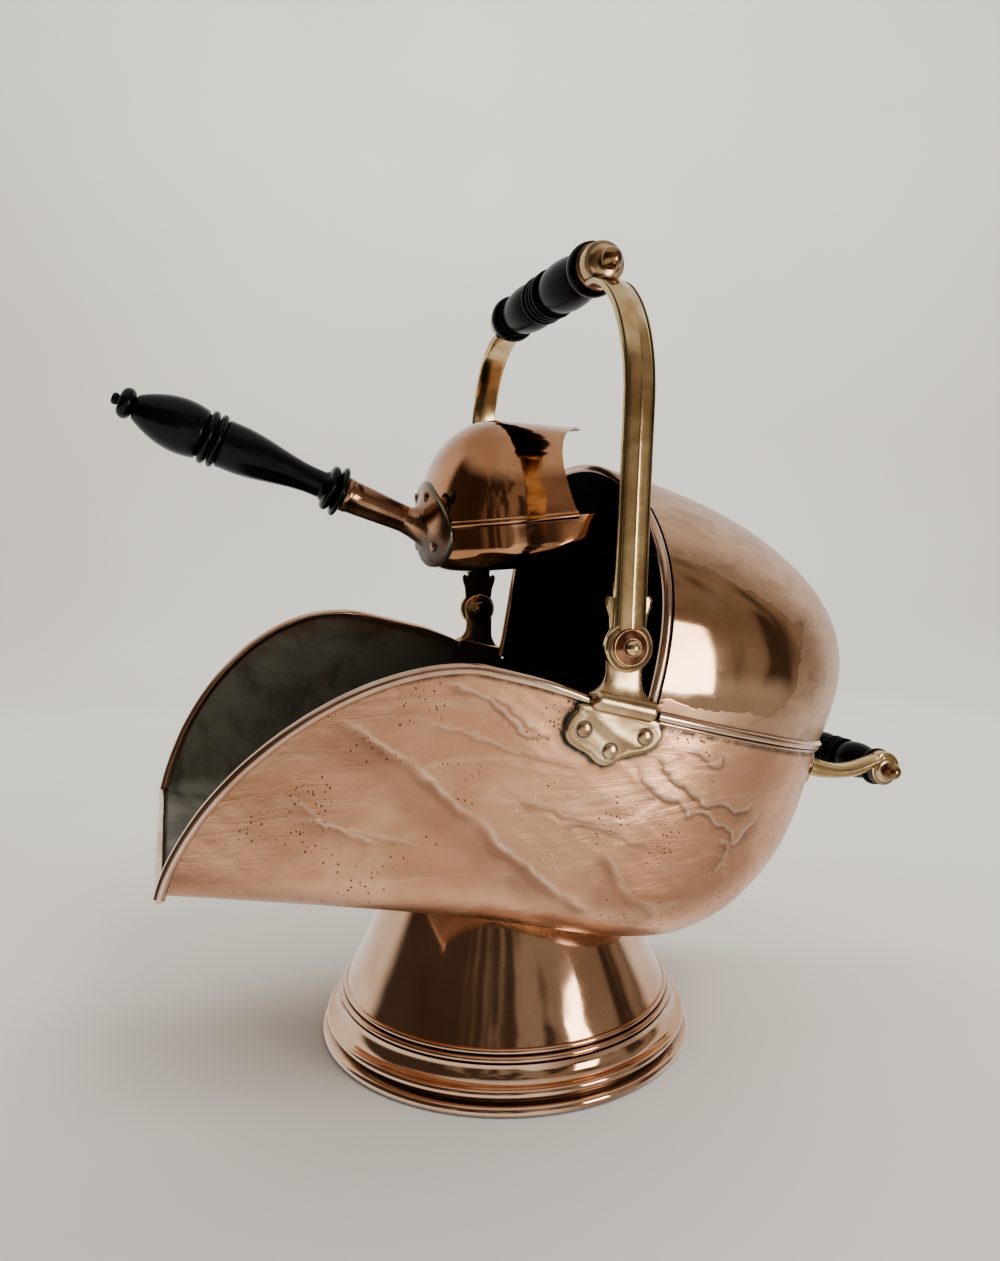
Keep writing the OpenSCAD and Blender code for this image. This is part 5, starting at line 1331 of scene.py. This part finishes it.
def rear_plate(piece, mirror):
    """A spear-shaped plate on the wall."""
    rise = np.linspace(0, 1, 25)
    breadth = 0.075 * np.sin(math.pi * rise ** 0.8) ** 0.6
    v = 99.5 + (121.0 - 99.5) * rise
    across = np.linspace(-1, 1, 13)
    s, height = REAR_S + breadth[:, None] * across, v[:, None] + 0 * across
    back, front = (rear_wall(s, height, o) for o in (-0.1, -2.2))
    crown = front + (front - back) * (0.25 * (1 - across ** 2))[None, :, None]
    for skin in (back, crown):
        piece.grid(leaning(skin) * mirror)
    left, right = (np.stack([skin[:, j] for skin in (back, crown)], 1) for j in (0, -1))
    piece.grid(leaning(np.concatenate([left, right[::-1]])) * mirror, along=True)


def make_rear():
    inner, outer, r = REAR_MID - 2.5, REAR_MID + 2.5, REAR_BOSS_R
    boss = [(3.05, inner), (r - 0.4, inner), (r, inner + 0.4), (r, outer), (r - 0.3, outer + 0.5),
            (r - 1.0, outer + 0.6), (r - 1.3, outer + 0.2), (r - 1.9, outer + 0.2), (r - 2.2, outer + 0.9)]
    boss += [(3.05 + (r - 5.4) * math.cos(a), outer + 1.0 + 2.0 * math.sin(a))
             for a in np.linspace(0.1, 1.5, 8)]
    boss += [(3.05, inner)]
    for side, name in ((NEAR, "near"), (FAR, "far")):
        mirror = np.array([1, -side, 1])
        piece = Piece()
        rear_arm(piece, mirror)
        piece.lathe(boss, on_rear(side), kind=1, dark=(r - 1.6, r))
        rear_plate(piece, mirror)
        piece.make("rear_arm_" + name + "_casting", [BRASS, PLATE], "scuttle", ["rear_bracket_" + name],
                   slot="cast_brass", sharp=40)
    rod = make_rod(51.7, 5.2, 2.9, 1.3, on_rear)
    rod.make("rear_rod_turned", [AGED], "scuttle", ["rear_rod"], slot="turned_copper")
    grip = Piece()
    grip.lathe(grip_outline(42, 12.0), on_rear(FAR), steps=64)
    grip.make("rear_grip_turned", [HANDLED], "rear_grip", ["rear_grip"], slot="ebonised_wood", sharp=60)
    carry("rear_rivets", BRASS)


def carry(node, finish):
    """A modelled node whose shape is right keeps its mesh and gets its finish."""
    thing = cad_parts[node]
    thing.data.materials.clear()
    thing.data.materials.append(finish)
    for polygon in thing.data.polygons:
        polygon.use_smooth = True
    thing.data.set_sharp_from_angle(angle=math.radians(40))


# ------------------------------------------------------------ shovel

# Where the pan's back stands in the world, and how far the shovel leans back
SHOVEL_X = -46.0
SHOVEL_Z = 279.05
PITCH = math.radians(4.7)
# The pan's length, half width, height, rounded back and rounded corner with its floor, and that corner's run
PAN_L, PAN_HALF, PAN_H, PAN_BACK, PAN_ROUND = 172.0, 56.0, 27.0, 46.0, 14.0
PAN_RUN = 1.5
# Where the pan's sides begin to sink to their edge, and how high that is
SINK_FROM, EDGE_H = 85.0, 3.0
BONNET_H = 58.5
SHOVEL_BAND_R = 2.2
# The bonnet's share of the way from its front edge to the middle of its back where the back begins
BACK_FROM = 0.3


def on_shovel(p):
    """From the shovel's frame, x from the pan's back to its edge, to the world."""
    p = np.asarray(p, float)
    c, s = math.cos(PITCH), math.sin(PITCH)
    return stack(SHOVEL_X + p[..., 0] * c - p[..., 2] * s, p[..., 1], SHOVEL_Z + p[..., 0] * s + p[..., 2] * c)


def pan_plan(s):
    """The pan's outline at station s, from -1 at its edge over 0 where the back begins to 1 at the back."""
    turn = np.clip(s, 0, 1) * math.pi / 2
    x = np.where(s < 0, PAN_BACK + (PAN_L - PAN_BACK) * -s, PAN_BACK - PAN_BACK * full(np.sin(turn)))
    w = np.where(s < 0, PAN_HALF, PAN_HALF * full(np.cos(turn)))
    return x, w


def pan_wall(s, q, side, t):
    """The pan's wall at station s, q of the way from its edge to the bottom, t inside its outer face."""
    s, q = np.broadcast_arrays(np.asarray(s, float), np.asarray(q, float))
    x, w = pan_plan(s)
    nx, nw = outward(pan_plan, s, 0.001, -1.0)
    sink = np.maximum(x - SINK_FROM, 0) / (PAN_L - SINK_FROM)
    top = EDGE_H + (PAN_H - EDGE_H) * np.sqrt(np.maximum(1 - sink ** 2, 0))
    h = np.minimum(PAN_ROUND, 0.8 * (top - t))
    z, turn = down_wall(q, top, t, h, PAN_RUN)
    drawn = h * (1 - np.cos(turn)) + t
    return stack(x - nx * drawn, side * (w - nw * drawn), z)


def make_pan():
    front = -np.cos(np.linspace(0, math.pi / 2, 60))
    stations = np.concatenate([front, np.linspace(0, 1, 61)[1:]])[:, None]
    rows = np.linspace(0, 1, 34)
    piece = Piece()
    nets = {}
    for kind, t in SKINS:
        for side in (NEAR, FAR):
            p = pan_wall(stations, rows[None, :], side, t)
            knock = 0.35 * side * dents(p, 22.0, 2) * smooth(rows / 0.1) * smooth((1 - stations) / 0.4)
            p = p + stack(0.0, knock, 0.0)
            piece.grid(on_shovel(p), kind)
            nets[kind, side] = p
        piece.grid(on_shovel(across_floor(nets[kind, NEAR][:, -1], nets[kind, FAR][:, -1])), kind)
    close_sheet(piece, nets, on_shovel)
    piece.make("pan_sheet", [SHOVEL, INSIDE], "shovel", ["shovel_pan"], sharp=45, slot="shovel_copper")


def bonnet_fill(part):
    """A circle's cosine, made a little fuller."""
    return power(part, 1 / 1.05)


def bonnet(turn, c, t):
    """The bonnet at a height angle, and c of the way from its front edge to the middle of its back."""
    h = (BONNET_H - t) * np.sin(turn)
    fill = bonnet_fill(np.cos(turn))
    a = np.clip((c - BACK_FROM) / (1 - BACK_FROM), 0, 1) * math.pi / 2
    edge = 75 + 28 * np.sin(turn) ** 1.27 - 18 * np.sin(2 * turn)
    flat = edge + (PAN_BACK - edge) * np.clip(c / BACK_FROM, 0, 1)
    x = np.where(c <= BACK_FROM, flat, PAN_BACK - (PAN_BACK - t) * np.maximum(fill, 0.03) * full(np.sin(a)))
    w = (PAN_HALF - t) * fill * full(np.cos(a))
    fall = 0.14 * np.maximum(x - PAN_BACK, 0) * np.sin(turn) ** 3
    return x, w, PAN_H + SEAT + h - fall


def make_bonnet():
    turn = np.linspace(0, math.pi / 2, 70)[:, None]
    c = np.concatenate([np.linspace(0, BACK_FROM, 30)[:-1], np.linspace(BACK_FROM, 1, 60)])
    piece = Piece()
    skins = []
    for kind, t in SKINS:
        x, w, z = bonnet(turn, c[None, :], t)
        near = stack(x, -w, z)
        p = np.concatenate([near, near[:, ::-1][:, 1:] * np.array([1, -1, 1])], 1)
        knock = 0.4 * dents(p + 9, 24.0, 2) * smooth(turn / 0.3) * np.cos(turn) ** 0.5
        p = p + stack(0.0, np.sign(p[..., 1]) * knock, 0.3 * knock)
        piece.grid(on_shovel(p), kind)
        skins.append(p)
    close_dome(piece, skins, on_shovel)
    piece.make("bonnet_sheet", [SHOVEL, INSIDE], "shovel", ["shovel_bonnet"], sharp=45, slot="shovel_copper",
               weld=0.01)


def make_shovel_band():
    """The half-round bead over the seam of pan and bonnet, left out behind the socket's plate."""
    x, w = pan_plan(np.linspace(0, 1, 50))
    near = np.concatenate([stack(np.linspace(74.6, PAN_BACK, 16)[:-1], -PAN_HALF, PAN_H), stack(x, -w, PAN_H)])
    near = near[np.abs(near[:, 1]) > max(half for half, z in BACK_PLATE)]
    a = np.linspace(-math.pi / 2, math.pi / 2, 13)
    section = stack(SEAT + SHOVEL_BAND_R * 0.7 * np.cos(a), SHOVEL_BAND_R * np.sin(a))
    up = on_shovel([0, 0, 1]) - on_shovel([0, 0, 0])
    piece = Piece()
    for mirror in (1, -1):
        piece.sweep(on_shovel(near * np.array([1, mirror, 1])), section * np.array([-mirror, 1]), up)
    piece.make("shovel_seam_roll", [SHOVEL], "shovel", ["shovel_band"], slot="shovel_copper", sharp=60)


# Half the outline of the cast plate on the shovel's back and two of its rivets, out and over the seam
BACK_PLATE = [(0, 26.5), (6, 25.5), (14, 22), (21, 17.5), (27, 12.5), (31.5, 6), (34, -1), (34.3, -6),
              (33, -12), (29, -17), (22, -20.5), (12, -22.5), (0, -23)]
BACK_RIVETS = ((11, 17.0), (19.5, -11.0))


def shovel_back(y, z, out):
    """A point on the shovel's back at y and at height z over the seam, out from the sheet."""
    y = np.asarray(y, float)
    fill = bonnet_fill(np.cos(np.arcsin(np.clip(z / BONNET_H, 0, 1))))
    share = np.clip(np.abs(y) / (PAN_HALF * fill), 0, 0.999)
    left = 1 - share ** FULLNESS
    low = np.clip((PAN_ROUND - PAN_H - z) / PAN_ROUND, 0, 1)
    x = PAN_BACK - PAN_BACK * fill * left ** (1 / FULLNESS) + PAN_ROUND * (1 - np.sqrt(1 - low ** 2))
    spread = share ** 1.2 * PAN_BACK / PAN_HALF / np.maximum(left, 0.05) ** 0.2
    away = unit(stack(-1.0, np.sign(y) * spread, 0.9 * (1 - fill) - low))
    return stack(x, y, PAN_H + z) + away * np.asarray(out)[..., None]


# The socket's tube as (radius, height) pairs: where it begins, and how it widens to its collar
TUBE_R, TUBE_FROM = 7.9, 13.0
TUBE = [(TUBE_R, 12.8), (8.2, 20), (9.3, 40), (9.6, 46), (10.0, 46.6), (10.2, 48.2), (10.0, 49.6), (9.4, 50.0),
        (4.1, 50.0)]
# How far out each ring of the plate stands, its size, and its tarnish
BACK_RINGS = ((0.1, 1.0, 1), (1.3, 1.0, 1), (1.9, 0.985, 0.9), (2.2, 0.955, 0.3), (2.3, 0.9, 0), (2.4, 0.8, 0),
              (2.6, 0.68, 0), (2.9, 0.56, 0))


def make_socket():
    piece = Piece()
    right = np.array(BACK_PLATE, float)
    edge = smooth_loop(np.concatenate([right, right[-2:0:-1] * np.array([-1, 1])]), 120)
    y, z = edge.T
    rings = [on_shovel(shovel_back(y * grow, z * grow, np.full(len(y), o))) for o, grow, tarnish in BACK_RINGS]
    # From the plate's rim a curve runs out to the tube
    angle = np.arctan2(y, z)
    sine, cosine = np.sin(angle), np.cos(angle)
    ring = on_handle(stack(TUBE_R * cosine, TUBE_R * sine, TUBE_FROM))
    foot = on_shovel(shovel_back(9.5 * sine, 9.5 * cosine + 1.0, np.full(len(y), 4.0)))
    start = rings[-1]
    curve = np.linspace(0, 1, 16)[1:]
    rings += [(1 - k) ** 2 * start + 2 * k * (1 - k) * foot + k ** 2 * ring for k in curve]
    green = np.array([tarnish for o, grow, tarnish in BACK_RINGS] + [0.0] * len(curve))
    # Painted shade darkens the plate on its low and far parts
    dark = 0.75 * smooth((y + 6) / 24) + 0.7 * smooth((-4 - z) / 14)
    reach = np.concatenate([np.ones(len(BACK_RINGS)), np.linspace(1, 0, len(curve))])[:, None]
    net = piece.grid(np.stack(rings), around=True, green=green[:, None], dark=np.clip(dark, 0, 0.8) * reach)
    piece.cap(net[0])
    piece.lathe(TUBE, on_handle, steps=56)
    piece.make("shovel_socket_casting", [BRONZE], "shovel", ["shovel_socket"], slot="cast_brass", sharp=45)
    rivets = Piece()
    head = [(0, -1.2), (2.9, -1.2), (3.0, 0.0)] + dome(2.9, 0.9, 9, 0.1)
    for side in (NEAR, FAR):
        for y, z in BACK_RIVETS:
            spot = shovel_back(side * y, z, np.array(2.9))
            away = shovel_back(side * y, z, np.array(3.9)) - spot
            one = unit(np.cross(away, [0, 0, 1.0]))
            axes = np.stack([one, np.cross(away, one), away])
            rivets.lathe(head, lambda p: on_shovel(spot + p @ axes), steps=28)
    rivets.make("shovel_rivet_heads", [BRONZE], "shovel", ["shovel_rivets"], slot="cast_brass")


HANDLE_TILT = math.radians(22.4)


def on_handle(p):
    """A turned piece's height runs along the handle, away from the pan."""
    c, s = math.cos(HANDLE_TILT), math.sin(HANDLE_TILT)
    return on_shovel([0, 0, PAN_H]) + p @ np.array([(s, 0, c), (0, 1.0, 0), (-c, 0, s)])


def make_handle():
    r, l, start = 15.2, 131.0, 50.1

    def rings(*mouldings):
        """Half-round mouldings: radius, how far out, from and to, as shares of the handle's; and the steps."""
        return [point for low, out, a, b, steps in mouldings
                for point in arc(low * r, out * r, a * l, b * l, steps)]

    neck = [(r * (0.50 + 0.38 * float(smooth(k * 1.25 - 0.1))), (0.1 + 0.44 * k) * l)
            for k in np.linspace(0, 1, 40)]
    knob = [(r * (0.3 + 0.69 * math.sin(math.radians(58 + 114 * k)) ** 0.8), (0.63 + 0.275 * k) * l)
            for k in np.linspace(0, 1, 36)]
    outline = ([(0, 0), (r * 0.6, 0)]
               + rings((0.62, 0.34, 0.5 / l, 0.04, 9), (0.60, 0.26, 0.042, 0.085, 9)) + neck
               + rings((0.78, 0.22, 0.545, 0.58, 9), (0.78, 0.22, 0.582, 0.62, 9)) + knob
               + rings((0.3, 0.26, 0.91, 0.97, 11), (0.1, 0.12, 0.97, 1 - 0.1 / l, 9)) + [(0, l)])
    piece = Piece()
    tang = [(0, -18), (4, -18), (4, 2), (0, 2)]
    for part, steps in ((outline, 72), (tang, 24)):
        piece.lathe([(a, start + b) for a, b in part], on_handle, steps=steps)
    piece.make("shovel_handle_turned", [EBONY], "shovel", ["shovel_handle"], slot="ebonised_wood", sharp=60)


# ------------------------------------------------------------ hangers

def worn_copy(node, name, voxel, rounds):
    """The modelled solid with its edges worn round; voxel is in millimetres."""
    mesh = bpy.data.meshes.new(name)
    shaped = bmesh.new()
    shaped.from_mesh(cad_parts[node].data)
    bmesh.ops.remove_doubles(shaped, verts=shaped.verts, dist=1e-6)
    shaped.to_mesh(mesh)
    shaped.free()
    piece = bpy.data.objects.new(name, mesh)
    bpy.context.collection.objects.link(piece)
    worn = piece.modifiers.new("worn", "REMESH")
    worn.mode = "VOXEL"
    worn.voxel_size = voxel * MM
    eased = piece.modifiers.new("eased", "SMOOTH")
    eased.factor = 0.5
    eased.iterations = rounds
    held = bpy.context.evaluated_depsgraph_get()
    piece.data = bpy.data.meshes.new_from_object(piece.evaluated_get(held))
    piece.modifiers.clear()
    piece.data.materials.clear()
    piece.data.shade_smooth()
    return piece


def make_hangers():
    for node in ("front_hanger", "rear_hanger"):
        piece = worn_copy(node, node + "_rod", 0.45, 3)
        piece.data.materials.append(SOOTY)
        fit(piece, "scuttle", [node])
    carry("hanger_rivets", AGED)


# ------------------------------------------------------------ stage, lights and camera

# How far the camera is turned from looking straight across the scuttle, in degrees
CAMERA_YAW = 17.93


def make_stage():
    """A pale floor that curves up into a backdrop; the profile is in metres, away from the camera and up."""
    f = Finish("pale_floor")
    soft = f.noise(420, 2, 0.4)
    f.set(Base_Color=f.blend(shade("dfdcd4"), shade("e6e3dc"), soft.between(0.3, 0.7)), Roughness=0.95)
    front, bend_from, bend_r, height, half = -2.6, 1.2, 0.5, 3.2, 4.5
    profile = [(front, 0.0), (bend_from, 0.0)]
    profile += [(bend_from + bend_r * math.sin(a), bend_r * (1 - math.cos(a)))
                for a in np.linspace(0, math.pi / 2, 20)]
    profile.append((bend_from + bend_r, height))
    c, s = math.cos(math.radians(CAMERA_YAW)), math.sin(math.radians(CAMERA_YAW))
    points = [(d * s + w * c, d * c - w * s, z) for d, z in profile for w in (-half, half)]
    faces = [(2 * i, 2 * i + 1, 2 * i + 3, 2 * i + 2) for i in range(len(profile) - 1)]
    mesh = bpy.data.meshes.new("floor_sweep")
    mesh.from_pydata(points, [], faces)
    mesh.materials.append(f.material)
    mesh.shade_smooth()
    floor = bpy.data.objects.new("floor_sweep", mesh)
    bpy.context.collection.objects.link(floor)
    # The polished sheet mirrors the room and not the floor
    floor.visible_glossy = False


def add_light(name, to_right, up, distance, size, power_w, tint, aim, mirrors=False):
    """A soft light to the camera's right and up (in degrees), aimed at a point, that the sheet may mirror."""
    yaw, rise = math.radians(to_right - CAMERA_YAW), math.radians(up)
    back = Vector((math.sin(yaw) * math.cos(rise), -math.cos(yaw) * math.cos(rise), math.sin(rise)))
    light = bpy.data.lights.new(name, "AREA")
    light.shape = "RECTANGLE"
    light.size, light.size_y = size
    light.energy = power_w
    light.color = tint
    lamp = bpy.data.objects.new(name, light)
    bpy.context.collection.objects.link(lamp)
    lamp.location = Vector(aim) + back * distance
    lamp.rotation_euler = (-back).to_track_quat("-Z", "Y").to_euler()
    lamp.visible_glossy = mirrors


def make_lights():
    Room(pale=(1.2, 1.18, 1.13, 1), low=(0.46, 0.43, 0.39, 1), ceiling=(0.85, 0.82, 0.77, 1),
         dim=(0.07, 0.052, 0.04, 1), middling=(0.34, 0.285, 0.23, 1))
    add_light("window_right", 48, -5, 0.85, (0.25, 0.42), 4.6, (1.0, 0.98, 0.94), (0.09, -0.118, 0.25),
              mirrors=True)
    add_light("floor_light", 45, 50, 2.4, (1.2, 1.2), 30, (1.0, 0.99, 0.97), (0.02, 0, 0.2))
    add_light("backdrop_light", 0, 38, 1.5, (2.6, 0.9), 34, (1.0, 1.0, 0.98), (0.52, 1.62, 0.6))


def make_camera():
    camera = bpy.data.cameras.new("camera")
    camera.lens = 28.557
    camera.sensor_width = 36.0
    camera.sensor_fit = "AUTO"
    holder = bpy.data.objects.new("camera", camera)
    bpy.context.collection.objects.link(holder)
    right = (0.9512126, -0.3084693, -0.00642461)
    up = (0.03725407, 0.0941583, 0.99485996)
    back = (-0.30627883, -0.94656268, 0.1010563)
    at = (-0.18696, -0.57231, 0.30461)
    holder.matrix_world = Matrix([(right[i], up[i], back[i], at[i]) for i in range(3)] + [(0, 0, 0, 1)])
    bpy.context.scene.camera = holder


make_trough()
make_hood()
make_wires()
make_arch_wire()
make_seam_band()
make_foot()
make_brackets()
make_pivots()
make_bail()
make_rear()
make_pan()
make_bonnet()
make_shovel_band()
make_socket()
make_handle()
make_hangers()
make_stage()
make_lights()
make_camera()
